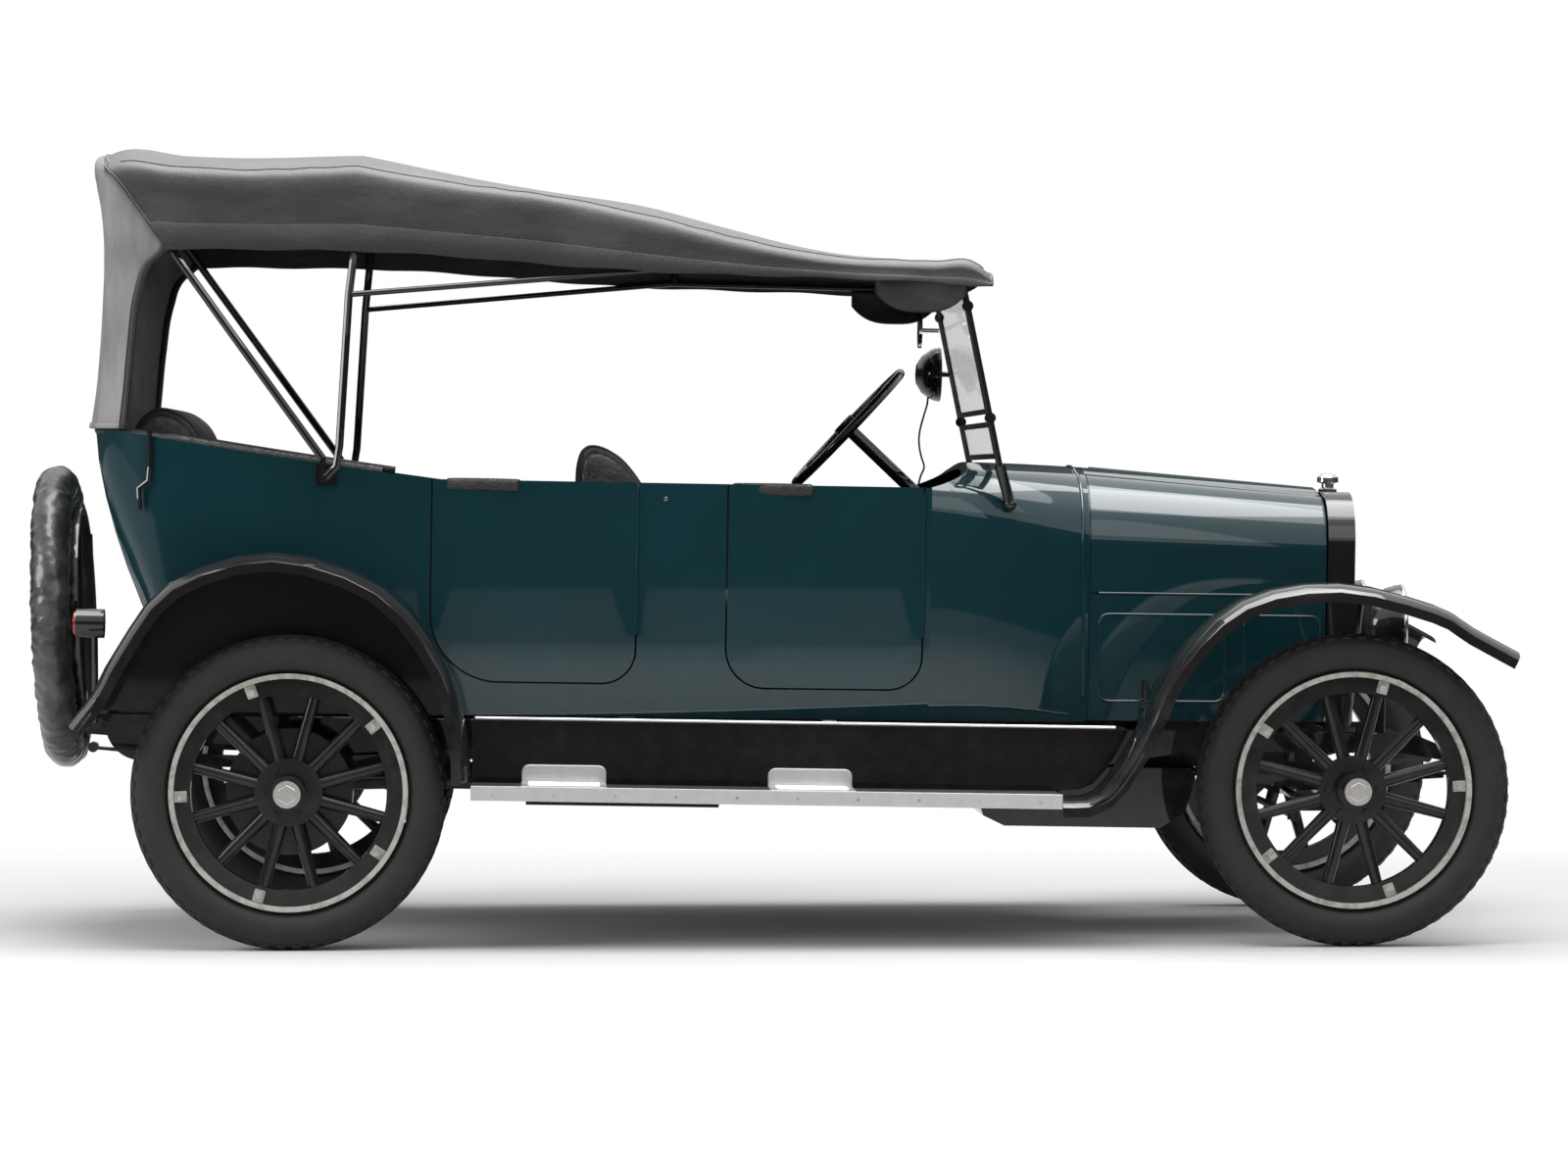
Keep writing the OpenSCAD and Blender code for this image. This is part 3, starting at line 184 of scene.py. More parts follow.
softbox = fresh(bpy.ops.mesh.primitive_plane_add, "softbox", size=1, location=(0.4, -0.2, 6.6))
softbox.scale = (7.0, 5.2, 1)
softbox_silk, where = new_finish("softbox_silk")
glow = where.node("ShaderNodeEmission", {}, {"Strength": 7.0})
where.node("ShaderNodeOutputMaterial", {}, {"Surface": glow})
gloss_only(softbox, softbox_silk)

world = bpy.data.worlds.new("studio_air")
scene.world = world
world.use_nodes = True
world.node_tree.nodes.clear()
sky = Shade(world.node_tree, None)
rays = sky.node("ShaderNodeLightPath", {}, {})
kinds = [Shade(rays.tree, rays.socket.node.outputs[name])
         for name in ("Is Camera Ray", "Is Glossy Ray", "Is Transmission Ray")]
direct = sky.maths("MINIMUM", kinds[0] + kinds[1] + kinds[2], 1.0)
air = sky.node("ShaderNodeBackground", {}, {"Color": (1.0, 1.0, 1.0), "Strength": 0.32 + direct * 0.68})
sky.node("ShaderNodeOutputWorld", {}, {"Surface": air})

for name, spot, aim, size, watts in (("overhead_light", (0.3, -0.6, 6.5), (0, 0, 0), 7.0, 500),
                                     ("front_light", (3.0, -8.0, 5.0), (0, 0, 0.8), 5.0, 80),
                                     ("rear_light", (-6.0, -2.2, 2.8), (-1.9, -0.4, 1.2), 2.2, 140)):
    light = fresh(bpy.ops.object.light_add, name, type="AREA", location=spot)
    light.data.size = size
    light.data.energy = watts
    sight = Vector(aim) - Vector(spot)
    light.rotation_euler = sight.to_track_quat("-Z", "Y").to_euler()

camera = fresh(bpy.ops.object.camera_add, "camera", location=(-0.598, -15.35, 1.273))
camera.data.sensor_width = 36
camera.data.lens = 123.8
sight = Vector((0.039, -0.750, 0.981)) - camera.location
camera.rotation_euler = sight.to_track_quat("-Z", "Y").to_euler()
scene.camera = camera


# Painted body: pressed sheet panels on a wooden frame, painted teal and varnished to a deep gloss.
# Each panel takes its shape from the solid, with its bends shaded smooth.
def pick(piece):
    bpy.ops.object.select_all(action="DESELECT")
    piece.select_set(True)
    bpy.context.view_layer.objects.active = piece


def edit_all():
    bpy.ops.object.mode_set(mode="EDIT")
    bpy.ops.mesh.select_all(action="SELECT")


def edit_done():
    bpy.ops.object.mode_set(mode="OBJECT")


def crisp(degrees):
    bpy.ops.object.shade_smooth_by_angle(angle=math.radians(degrees))


def finish_with(piece, finish, body="car"):
    piece.data.materials.clear()
    piece.data.materials.append(finish)
    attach(piece, body)
    return piece


dressed = {}


def dress(node, finish, body="car", angle=32):
    pick(frame["nodes"][node])
    bpy.ops.object.duplicate()
    piece = bpy.context.active_object
    piece.name = node + "_finished"
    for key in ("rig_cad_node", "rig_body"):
        del piece[key]
    bpy.ops.mesh.customdata_custom_splitnormals_clear()
    edit_all()
    bpy.ops.mesh.remove_doubles(threshold=0.00002)
    bpy.ops.mesh.dissolve_limited(angle_limit=math.radians(0.02))
    edit_done()
    crisp(angle)
    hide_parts(node)
    dressed[node] = finish_with(piece, finish, body)
    return piece


def paint(name, colour, deep, dust, gloss=1.0):
    finish, where = new_finish(name)
    cloud = where.grain(0.35, 4.0)
    low = 1 - where.part(2).step(0.55, 0.95)
    film = low * where.grain(0.05, 5.0).step(0.35, 0.75) * dust
    tone = cloud.step(0.3, 0.7).blend(colour, deep)
    tone = film.blend(tone, (0.22, 0.21, 0.19))
    ripple = where.grain(0.012, 2.0)
    surface(where, Base_Color=tone, Roughness=0.38 + film * 0.4 + cloud * 0.05, Specular_IOR_Level=0.12,
            Coat_Weight=(1.0 - film) * gloss, Coat_Roughness=0.03, Normal=ripple.bump(0.00006))
    return finish


teal_paint = paint("teal_paint", (0.0011, 0.031, 0.039), (0.0009, 0.026, 0.033), 0.04)
for node in ("body_sides", "body_tail", "scuttle", "bonnet_side_panels"):
    dress(node, teal_paint)

# Doors: the same painted sheet, bent round wooden frames and hung on hinges.
# Shut, they stand flush with the sides, with a narrow line all round.
doors = {f"{end}_door_{side}": f"{end}_{side}_door"
         for end in ("front", "rear") for side in ("left", "right")}
for node, body in doors.items():
    dress(node, teal_paint, body)

# Chassis and ironwork: pressed and forged steel, dipped in black enamel, with road dust low down.
# The springs carry the axles under the frame, and wings and boards are bolted to its sides.
# The rear spindles are drawn a little slimmer, so that their flats turn freely inside the hubs.
rear_x = -1.302
front_x = 1.594
axle_z = 0.428
half_track = 0.711
rake = math.radians(1)
black_enamel = paint("black_enamel", (0.0062, 0.0062, 0.0066), (0.0078, 0.0078, 0.0078),
                     0.07)
for node in ("frame", "springs", "front_axle", "rear_axle", "underpan", "fuel_tank", "radiator_shell",
             "windscreen_frame", "steering_column", "driver_controls", "top_bows", "lamps", "spare_carrier"):
    dress(node, black_enamel)
spindle_line = Vector((rear_x, axle_z))
spindle_from = 0.62
spindle_within = 0.032
slimmer = 0.0006
for point in dressed["rear_axle"].data.vertices:
    off_line = Vector((point.co.x, point.co.z)) - spindle_line
    if abs(point.co.y) > spindle_from and off_line.length < spindle_within:
        slim = spindle_line + off_line * (1 - slimmer / max(off_line.length, 0.001))
        point.co.x, point.co.z = slim
for node in ("front_wings", "rear_wings", "running_boards"):
    dress(node, black_enamel, angle=40)
# Painted shade: the splash aprons get a darker, less glossy copy of the black enamel, for the shade they
# stand in under the body's side.
shaded_apron_enamel = paint("shaded_apron_enamel", (0.0040, 0.0040, 0.0040), (0.0052, 0.0052, 0.0050),
                     0.03, 0.22)
dress("splash_aprons", shaded_apron_enamel, angle=40)
dress("steering_wheel", black_enamel, "hand_wheel", 40)

# Engine, exhaust and steering links: bare cast and forged iron, dull with oil.
# The engine sits between the frame rails, and the knuckles turn on pins at the axle's ends.
dull_iron, where = new_finish("dull_iron")
mottle = where.grain(0.03, 5.0)
surface(where, Base_Color=mottle.step(0.3, 0.7).blend((0.05, 0.048, 0.046), (0.09, 0.085, 0.08)),
        Metallic=0.7, Roughness=0.5 + mottle * 0.25,
        Normal=where.grain(0.004, 2.0).bump(0.0004))
for node, body in (("engine", "car"), ("exhaust", "car"), ("knuckle_left", "left_knuckle"),
                   ("knuckle_right", "right_knuckle"), ("tie_rod", "steering_rod")):
    dress(node, dull_iron, body)

# Bright work: nickel plate on the radiator cap, which screws into the shell's neck.
# The steps and board edges further down are of plain rolled aluminium.
nickel, where = new_finish("nickel")
surface(where, Base_Color=where.grain(0.02, 3.0).blend((0.62, 0.60, 0.56), (0.72, 0.70, 0.66)),
        Metallic=1.0, Roughness=0.12 + where.grain(0.01, 4.0) * 0.15)
dress("radiator_cap", nickel)
aluminium, where = new_finish("aluminium")
surface(where, Base_Color=where.grain(0.03, 3.0).blend((0.60, 0.60, 0.61), (0.74, 0.74, 0.75)),
        Metallic=1.0, Roughness=0.3 + where.grain(0.008, 4.0) * 0.2)

# Wheels: turned wooden spokes and bent felloes under black coach enamel, with a steel rim clamped on.
# The hub plates are bolted through the spokes, and nickel caps screw over the hub ends.
wheel_enamel = paint("wheel_enamel", (0.0055, 0.0055, 0.0058), (0.0075, 0.0075, 0.0075),
                     0.06, 0.5)
rim_steel, where = new_finish("rim_steel")
rust = where.grain(0.02, 6.0)
surface(where, Base_Color=rust.step(0.4, 0.75).blend((0.46, 0.45, 0.42), (0.27, 0.245, 0.215)),
        Metallic=0.15, Roughness=0.42 + rust * 0.2)
dress("spare_rim", rim_steel)
hubs = {f"{end}_{side}": Vector((x, y, axle_z)) for end, x in (("front", front_x), ("rear", rear_x))
        for side, y in (("left", half_track), ("right", -half_track))}
rim_beyond = 0.3085
cap_within = 0.0385
cap_beyond = 0.0745
for name, hub in hubs.items():
    wheel = dress(f"wheel_{name}", wheel_enamel, f"{name}_wheel", 40)
    wheel.data.materials.append(rim_steel)
    wheel.data.materials.append(nickel)
    for face in wheel.data.polygons:
        off = face.center - hub
        ring = math.hypot(off.x, off.z)
        if ring > rim_beyond:
            face.material_index = 1
        elif ring < cap_within and abs(off.y) > cap_beyond:
            face.material_index = 2


def settle(piece, matrix=Matrix.Identity(4)):
    pick(piece)
    piece.matrix_world = matrix @ piece.matrix_world
    bpy.ops.object.transform_apply(location=True, rotation=True, scale=True)


def weld(parts, name):
    pick(parts[0])
    for part in parts:
        part.select_set(True)
    if len(parts) > 1:
        bpy.ops.object.join()
    whole = bpy.context.active_object
    whole.name = name
    whole.data.name = name
    return whole


def copies(piece, matrices, name):
    made = []
    for matrix in matrices:
        pick(piece)
        bpy.ops.object.duplicate()
        twin = bpy.context.active_object
        settle(twin, matrix)
        made.append(twin)
    return weld(made, name)


def round_edges(piece, edge, segments):
    bpy.ops.mesh.bevel(offset=edge, segments=segments, affect="EDGES")
    edit_done()
    settle(piece)
    return piece


def soft_block(size, spot, edge, segments=2):
    block = fresh(bpy.ops.mesh.primitive_cube_add, "block", size=1, location=spot)
    edit_all()
    bpy.ops.transform.resize(value=size)
    return round_edges(block, edge, segments)


def hex_nut(radius, height, spot, edge=0.0012):
    nut = fresh(bpy.ops.mesh.primitive_cylinder_add, "nut", vertices=6, radius=radius, depth=height,
                location=spot, rotation=(math.pi / 2, 0, 0))
    edit_all()
    return round_edges(nut, edge, 2)


def turn_y(degrees):
    return Matrix.Rotation(math.radians(-degrees), 4, "Y")


clamp = weld([soft_block((0.036, 0.011, 0.030), (0.291, 0.0278, 0), 0.003),
              hex_nut(0.0125, 0.014, (0.286, 0.039, 0))], "rim_clamp")
hub_bolt = hex_nut(0.009, 0.012, (0.070, 0.0275, 0))
cap_nut = hex_nut(0.027, 0.009, (0, 0.1225, 0), 0.002)
for name, hub in hubs.items():
    stand = Matrix.Translation(hub)
    sign = 1
    if "right" in name:
        stand = stand @ Matrix.Rotation(math.pi, 4, "X")
        sign = -1
    begin = 38 if "rear" in name else 2
    clamps = copies(clamp, [stand @ turn_y(sign * (begin + 72 * k)) for k in range(5)], f"rim_clamps_{name}")
    bolts = copies(hub_bolt, [stand @ turn_y(60 * k) for k in range(6)], f"hub_bolts_{name}")
    nut = copies(cap_nut, [stand], f"hub_cap_{name}")
    finish_with(clamps, rim_steel, f"{name}_wheel")
    finish_with(bolts, wheel_enamel, f"{name}_wheel")
    finish_with(nut, nickel, f"{name}_wheel")
for piece in (clamp, hub_bolt, cap_nut):
    bpy.data.objects.remove(piece)

# Tyres: moulded rubber on a cord carcass, with a non-skid tread of staggered blocks.
# The beads are sprung into the steel rims, and air in the inner tube holds them there.
tyre_rubber, where = new_finish("tyre_rubber")
scuff = where.grain(0.06, 5.0)
surface(where, Base_Color=scuff.step(0.35, 0.7).blend((0.0075, 0.0075, 0.0075), (0.0145, 0.014, 0.0135)),
        Roughness=0.62 + scuff * 0.2, Normal=where.grain(0.003, 3.0).bump(0.0003))
carcass = fresh(bpy.ops.mesh.primitive_circle_add, "carcass", vertices=56, radius=0.0535,
                location=(0.374, 0, 0))
settle(carcass)
crown_at = 0.4205
bead_at = 0.3236
for point in carcass.data.vertices:
    if point.co.x > crown_at:
        point.co.x = crown_at
    if 0.395 < point.co.x < 0.404:
        point.co.y *= 1.012
    if 0.33 < point.co.x < 0.338:
        point.co.y *= 1.05
edit_all()
bpy.ops.mesh.select_all(action="DESELECT")
edit_done()
for point in carcass.data.vertices:
    point.select = point.co.x < bead_at
bpy.ops.object.mode_set(mode="EDIT")
bpy.ops.mesh.delete(type="VERT")
bpy.ops.mesh.select_all(action="SELECT")
bpy.ops.mesh.spin(steps=144, angle=2 * math.pi, center=(0, 0, 0), axis=(0, 1, 0))
bpy.ops.mesh.select_all(action="SELECT")
bpy.ops.mesh.remove_doubles(threshold=0.0001)
bpy.ops.mesh.normals_make_consistent(inside=False)
edit_done()
crisp(40)
rows_round = 60
pitch = math.radians(360 / rows_round)
blocks = []
for y, lean, shift, length, drop in ((0.0, 0, 0.0, 0.029, 0.0), (0.0275, 28, 0.5, 0.024, 0.0042),
                                     (-0.0275, -28, 0.5, 0.024, 0.0042)):
    block = soft_block((0.010, 0.021, length), (0, 0, 0), 0.0015, 1)
    settle(block, Matrix.Rotation(pitch * shift, 4, "Y") @ Matrix.Translation((0.4222 - drop, y, 0))
           @ Matrix.Rotation(math.radians(lean), 4, "Z"))
    blocks.append(block)
tread = weld(blocks, "tread")
edit_all()
bpy.ops.mesh.spin(steps=rows_round, dupli=True, angle=2 * math.pi, center=(0, 0, 0), axis=(0, 1, 0))
edit_done()
tyre = weld([carcass, tread], "tyre")
for name, hub in hubs.items():
    ring = copies(tyre, [Matrix.Translation(hub)], f"tyre_{name}_tread")
    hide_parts(f"tyre_{name}")
    finish_with(ring, tyre_rubber, f"{name}_wheel")
bpy.data.objects.remove(tyre)

# Radiator core: thin brass strip, folded and soldered to a honeycomb, dark with age.
# It is held inside the shell, and the cells let the air through.
core_brass, where = new_finish("core_brass")
# Painted shade: the inside of each cell is painted near black for the shade deep in the honeycomb, and the
# same mask sinks the cells in the bump.
shaded_cell_opening = where.cells(90.0, "DISTANCE_TO_EDGE").step(0.02, 0.12)
surface(where, Base_Color=shaded_cell_opening.blend((0.16, 0.13, 0.08), (0.006, 0.006, 0.006)), Metallic=0.8,
        Roughness=0.5, Normal=(1 - shaded_cell_opening).bump(0.004))
dress("radiator_core", core_brass)

# Boards: varnished planks screwed down over the frame, and a walnut instrument board.
# The instrument board is fixed across the scuttle's rear edge.
board_wood, where = new_finish("board_wood")
line = where.scaled((1.0, 14.0, 14.0)).grain(0.4, 6.0)
surface(where, Base_Color=line.step(0.3, 0.7).blend((0.11, 0.05, 0.02), (0.26, 0.14, 0.06)),
        Roughness=0.35 + line * 0.2, Coat_Weight=0.6, Normal=line.bump(0.0006))
for node in ("floor_boards", "instrument_board"):
    dress(node, board_wood)

# Glass: flat plate set in the screen's two frames, and lenses in the head lamps' rims.
# The rear-view mirror has a silvered face.
clear_glass, where = new_finish("clear_glass")
surface(where, Base_Color=(0.98, 0.99, 0.985), Roughness=0.02, Transmission_Weight=1.0, IOR=1.06)
for node in ("windscreen_glass", "headlamp_glasses"):
    dress(node, clear_glass)
silvered, where = new_finish("silvered")
surface(where, Base_Color=(0.8, 0.8, 0.8), Metallic=1.0, Roughness=where.grain(0.02) * 0.06)
dress("rear_view_mirror", silvered)

# Seats: black leather over springs and horsehair, sewn in pleats that run up each back and over its roll.
# The leather is stuffed until it swells between the seams, and each seat stands on the floor boards.
seat_leather, where = new_finish("seat_leather")
pore = where.cells(240.0)
crease = where.grain(0.022, 6.0, 0.65).step(0.42, 0.62)
worn = where.grain(0.16, 5.0).step(0.45, 0.75)
surface(where, Base_Color=worn.blend((0.0085, 0.0082, 0.008), (0.021, 0.019, 0.0175)),
        Roughness=0.34 + pore * 0.16 + worn * 0.14,
        Normal=(pore * 0.5 + crease).bump(0.0011))


def on_car(points):
    """Points along the tilted chassis, in metres from the rear axle, placed in the shared frame."""
    spot = np.asarray(points, dtype=float)
    ahead = rear_x + spot[..., 0] * math.cos(rake) + spot[..., 2] * math.sin(rake)
    rise = axle_z - spot[..., 0] * math.sin(rake) + spot[..., 2] * math.cos(rake)
    return np.stack([ahead, spot[..., 1], rise], -1)


def cloth_grid(rows, name, ring=False, ends=False):
    count, across = rows.shape[:2]
    faces = []
    for i in range(count - 1):
        for j in range(across if ring else across - 1):
            k = (j + 1) % across
            faces.append((i * across + j, i * across + k, (i + 1) * across + k, (i + 1) * across + j))
    if ends:
        faces.append(tuple(range(across)))
        faces.append(tuple((count - 1) * across + j for j in reversed(range(across))))
    mesh = bpy.data.meshes.new(name)
    mesh.from_pydata(rows.reshape(-1, 3).tolist(), [], faces)
    piece = bpy.data.objects.new(name, mesh)
    scene.collection.objects.link(piece)
    pick(piece)
    edit_all()
    bpy.ops.mesh.normals_make_consistent(inside=False)
    edit_done()
    bpy.ops.object.shade_smooth()
    return piece


def apply_modifier(piece, name, kind, **settings):
    pick(piece)
    step = piece.modifiers.new(name, kind)
    for key, value in settings.items():
        setattr(step, key, value)
    bpy.ops.object.modifier_apply(modifier=name)


def walked(path):
    return np.concatenate([[0], np.cumsum(np.linalg.norm(np.diff(path, axis=0), axis=1))])


def spread(path, at):
    walk = walked(path)
    return np.stack([np.interp(at, walk, path[:, k]) for k in range(path.shape[1])], 1)


def round_loop(corners, step, inset):
    loop = np.array(corners, dtype=float) / 1000
    for _ in range(3):
        ahead = np.roll(loop, -1, 0)
        loop = np.stack([loop * 0.8 + ahead * 0.2, loop * 0.2 + ahead * 0.8], 1).reshape(-1, 2)
    shut = np.vstack([loop, loop[:1]])
    girth = walked(shut)[-1]
    loop = spread(shut, np.linspace(0, girth, int(girth / step), endpoint=False))
    along = np.roll(loop, -1, 0) - np.roll(loop, 1, 0)
    along /= np.linalg.norm(along, axis=1, keepdims=True)
    out = np.stack([along[:, 1], -along[:, 0]], 1)
    return loop - out * inset, out


def swell(piece, held, cap):
    sewn = piece.vertex_groups.new(name="sewn")
    sewn.add([int(k) for k in np.flatnonzero(held)], 1.0, "REPLACE")
    before = np.empty(len(piece.data.vertices) * 3)
    piece.data.vertices.foreach_get("co", before)
    after = np.empty_like(before)
    last_moment = 20
    stuffing = piece.modifiers.new("stuffing", "CLOTH")
    for key, value in (("vertex_group_mass", "sewn"), ("quality", 4), ("use_pressure", True),
                       ("uniform_pressure_force", 5), ("tension_stiffness", 10),
                       ("compression_stiffness", 10), ("bending_stiffness", 0.3)):
        setattr(stuffing.settings, key, value)
    stuffing.settings.effector_weights.gravity = 0
    stuffing.point_cache.frame_start = 1
    stuffing.point_cache.frame_end = last_moment
    for moment in range(1, last_moment + 1):
        scene.frame_set(moment)
    grown = piece.evaluated_get(bpy.context.evaluated_depsgraph_get())
    grown.data.vertices.foreach_get("co", after)
    piece.modifiers.remove(stuffing)
    scene.frame_set(1)
    move = (after - before).reshape(-1, 3)
    far = np.linalg.norm(move, axis=1, keepdims=True)
    move *= np.minimum(1, cap / np.maximum(far, 1e-9))
    piece.data.vertices.foreach_set("co", (before.reshape(-1, 3) + move).ravel())
    piece.data.update()


def stuffed(name, corners, half, pleats, sewn_above):
    loop, out = round_loop(corners, 0.024, 0.012)
    columns = 6
    count = pleats * columns
    y = np.linspace(-half + 0.014, half - 0.014, count + 1)
    pleated = np.clip((loop[:, 1] - sewn_above) / 0.05, 0, 1)
    seam = (np.arange(count + 1) % columns == 0).astype(float)
    seam[0] = seam[-1] = 0
    pull = 0.013 * seam[:, None] * pleated[None, :]
    rows = np.stack([loop[None, :, 0] - out[None, :, 0] * pull, np.repeat(y[:, None], len(loop), 1),
                     loop[None, :, 1] - out[None, :, 1] * pull], -1)
    middle = loop.mean(0)
    ease = 1 - 0.13 * np.clip((np.abs(y) - half + 0.15) / 0.15, 0, 1) ** 2
    rows[..., 0] = middle[0] + (rows[..., 0] - middle[0]) * ease[:, None]
    rows[..., 2] = middle[1] + (rows[..., 2] - middle[1]) * ease[:, None]
    loop = middle + (loop - middle) * ease[0]
    low, high = [], []
    for size, off in ((0.05, 0.016), (0.5, 0.016), (0.88, 0.013), (0.975, 0.007)):
        ring = middle + (loop - middle) * size
        low.append(np.stack([ring[:, 0], np.full(len(loop), y[0] - off), ring[:, 1]], -1))
        high.insert(0, np.stack([ring[:, 0], np.full(len(loop), y[-1] + off), ring[:, 1]], -1))
    whole = np.concatenate([np.stack(low), rows, np.stack(high)])
    held = np.ones(whole.shape[:2])
    held[3:-3] = (pleated < 0.3)[None, :]
    held[4:-4] = np.maximum(held[4:-4], seam[:, None] * (pleated > 0.3)[None, :])
    pad = cloth_grid(on_car(whole), name, ring=True, ends=True)
    swell(pad, held.ravel() > 0.5, 0.016)
    apply_modifier(pad, "smooth", "SUBSURF", levels=1, render_levels=1)
    return pad


for node, cushion, back, wide, narrow, pleats in (
        ("rear_seat", [(-100, 241), (190, 241), (205, 560), (190, 600), (-300, 600), (-300, 500),
                       (-150, 340)],
         [(-410, 602), (-158, 602), (-165, 650), (-265, 990), (-330, 1044), (-410, 1058), (-480, 990),
          (-466, 800)], 0.555, 0.478, 15),
        ("front_seat", [(800, 241), (1400, 241), (1430, 520), (1410, 560), (790, 560)],
         [(790, 562), (1020, 562), (985, 800), (960, 860), (900, 935), (830, 972), (775, 968), (752, 900),
          (764, 750)], 0.5, 0.5, 14)):
    squab = stuffed(node + "_back", back, narrow, pleats, 0.66)
    base = stuffed(node + "_cushion", cushion, wide, pleats, 0.48)
    seat = weld([squab, base], node + "_leather")
    finish_with(seat, seat_leather)
    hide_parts(node)

# Top: one cut of black leathercloth drawn tight over the bows, with a valance sewn on along each side.
# A binding folds over the lower edge, piping covers the side seams, and a bead finishes the front.
top_cloth, where = new_finish("top_cloth")
pebble = where.cells(420.0)
weather = where.scaled((0.5, 1.0, 1.6)).grain(0.22, 6.0, 0.6)
# Painted highlight: the cloth is painted lighter where it faces up, for the sheen of the overhead light, and
# lighter at random where it is weathered.
upward = where.node("ShaderNodeNewGeometry", {}, {}, 1).part(2)
sheen_and_weather = upward.step(0.25, 0.95) * 0.75 + weather.step(0.45, 0.75) * 0.25
surface(where, Base_Color=sheen_and_weather.blend((0.013, 0.0125, 0.014), (0.15, 0.144, 0.140)),
        Roughness=0.42 + weather * 0.16,
        Normal=(pebble * 0.35 + where.grain(0.03, 5.0, 0.6)).bump(0.0016))


def spline(knots, values, at):
    knots = np.asarray(knots, dtype=float)
    values = np.asarray(values, dtype=float)
    slope = np.gradient(values, knots, axis=0)
    k = np.clip(np.searchsorted(knots, at) - 1, 0, len(knots) - 2)
    gap = (knots[k + 1] - knots[k])[:, None]
    t = (at - knots[k])[:, None] / gap
    return ((2 * t ** 3 - 3 * t ** 2 + 1) * values[k] + (t ** 3 - 2 * t ** 2 + t) * gap * slope[k]
            + (3 * t ** 2 - 2 * t ** 3) * values[k + 1] + (t ** 3 - t ** 2) * gap * slope[k + 1])


def piping(path, radius, name, finish, shut=False, sides=2):
    line = bpy.data.curves.new(name, "CURVE")
    line.dimensions = "3D"
    run = line.splines.new("POLY")
    run.points.add(len(path) - 1)
    run.points.foreach_set("co", np.column_stack([path, np.ones(len(path))]).ravel())
    run.use_cyclic_u = shut
    line.bevel_depth = radius
    line.bevel_resolution = sides
    line.use_fill_caps = True
    made = bpy.data.objects.new(name, line)
    scene.collection.objects.link(made)
    pick(made)
    bpy.ops.object.convert(target="MESH")
    tube = bpy.context.active_object
    crisp(50)
    return finish_with(tube, finish)


stations = np.array([(-571, 1745, 1682, 1467), (-541, 1757, 1690, 1467), (-331, 1752, 1687, 1467),
                     (-155, 1752, 1683, 1470), (157, 1760, 1695, 1472), (407, 1715, 1661, 1463),
                     (676, 1672, 1634, 1446), (927, 1637, 1586, 1433), (1186, 1575, 1527, 1428),
                     (1456, 1518, 1487, 1424), (1724, 1490, 1476, 1416), (1858, 1480, 1468, 1411),
                     (1891, 1455, 1441, 1412)])
along_x = np.concatenate([np.linspace(-571, -541, 4)[:-1], np.linspace(-541, 157, 38)[:-1],
                          np.linspace(157, 1858, 84)[:-1], np.linspace(1858, 1891, 6)])
mid_bow = 157
behind = stations[stations[:, 0] <= mid_bow]
ahead = stations[stations[:, 0] >= mid_bow]
levels = np.vstack([spline(behind[:, 0], behind[:, 1:], along_x[along_x <= mid_bow]),
                    spline(ahead[:, 0], ahead[:, 1:], along_x[along_x > mid_bow])])
cover_rows = []
for x, (crown, shoulder, hem) in zip(along_x, levels):
    half = 645 - 45 * (x + 541) / 2432
    back = 190 * max(0, -331 - x) / 210
    side = [(x + back * (0.3 + 0.7 * g), half + 10 * g, shoulder - 12 + (hem - shoulder + 12) * g)
            for g in (1, 0.5, 0.12)]
    roof = [(x + back * 0.22 * f, half * f, shoulder + (crown - shoulder) * (1 - f ** 2.4) - 3 * (f > 0.95))
            for f in (0.97, 0.88, 0.7, 0.48, 0.24)]
    left = side + roof
    row = left + [(x, 0, crown)] + [(a, -b, c) for a, b, c in reversed(left)]
    cover_rows.append(spline(np.arange(17), row, np.linspace(0, 16, 73)))
cover = np.array(cover_rows) / 1000
v = np.abs(np.linspace(-1, 1, 73))[None, :]
x = cover[..., 0]
drop = np.clip((v - 0.62) / 0.38, 0, 1)
bow = np.interp(x, (-0.541, 0.157, 1.05, 1.85), (0, 1, 2, 3))
slack = np.sin(np.pi * (bow % 1)) ** 2
swing = (np.sin(x * 17 + 0.6) * 0.5 + np.sin(x * 29 + 2.0 + v * 3) * 0.35 + np.sin(x * 7.3 + 1.1) * 0.6)
sway = drop * swing * (0.0015 + 0.0025 * drop) * np.minimum(1, slack + 0.3)
cover[..., 1] += np.sign(cover[..., 1]) * sway
cover[..., 2] -= 0.005 * slack * (1 - drop) * (1 - v ** 4)
pleat = np.exp(-((v - 0.60) / 0.05) ** 2) * np.sin(x * 41 + np.sin(x * 11) * 2)
cover[..., 2] += 0.0012 * pleat
cover[..., 2] += 0.002 * np.clip((v - 0.9) / 0.1, 0, 1) * np.sin(x * 23 + 0.4)
cover = on_car(cover)


def sheet_area(piece):
    return sum(face.area for face in piece.data.polygons)


def sewn(rows, name, thickness, finish, offset=0.0, ring=False):
    piece = cloth_grid(rows, name, ring=ring)
    area = sheet_area(piece)
    apply_modifier(piece, "gauge", "SOLIDIFY", thickness=thickness, offset=offset)
    return finish_with(piece, finish), area


canopy, cut = sewn(cover, "top_cloth_cover", 0.004, top_cloth, -1.0)
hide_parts("top_cover")
for side, column, inner, seam in (("left", 0, 3, 15), ("right", -1, -4, -16)):
    band = cover[:, [column, inner]] - (0, 0, 0.001)
    hem, _ = sewn(band, f"top_hem_{side}", 0.008, top_cloth)
    apply_modifier(hem, "round", "BEVEL", width=0.002, segments=2)
    piping(cover[4:-3, seam], 0.0028, f"top_piping_{side}", top_cloth)
piping(cover[0], 0.004, "top_rear_piping", top_cloth)
piping(cover[-1], 0.006, "top_front_bead", top_cloth)
max(2.5, cut / 1.95)

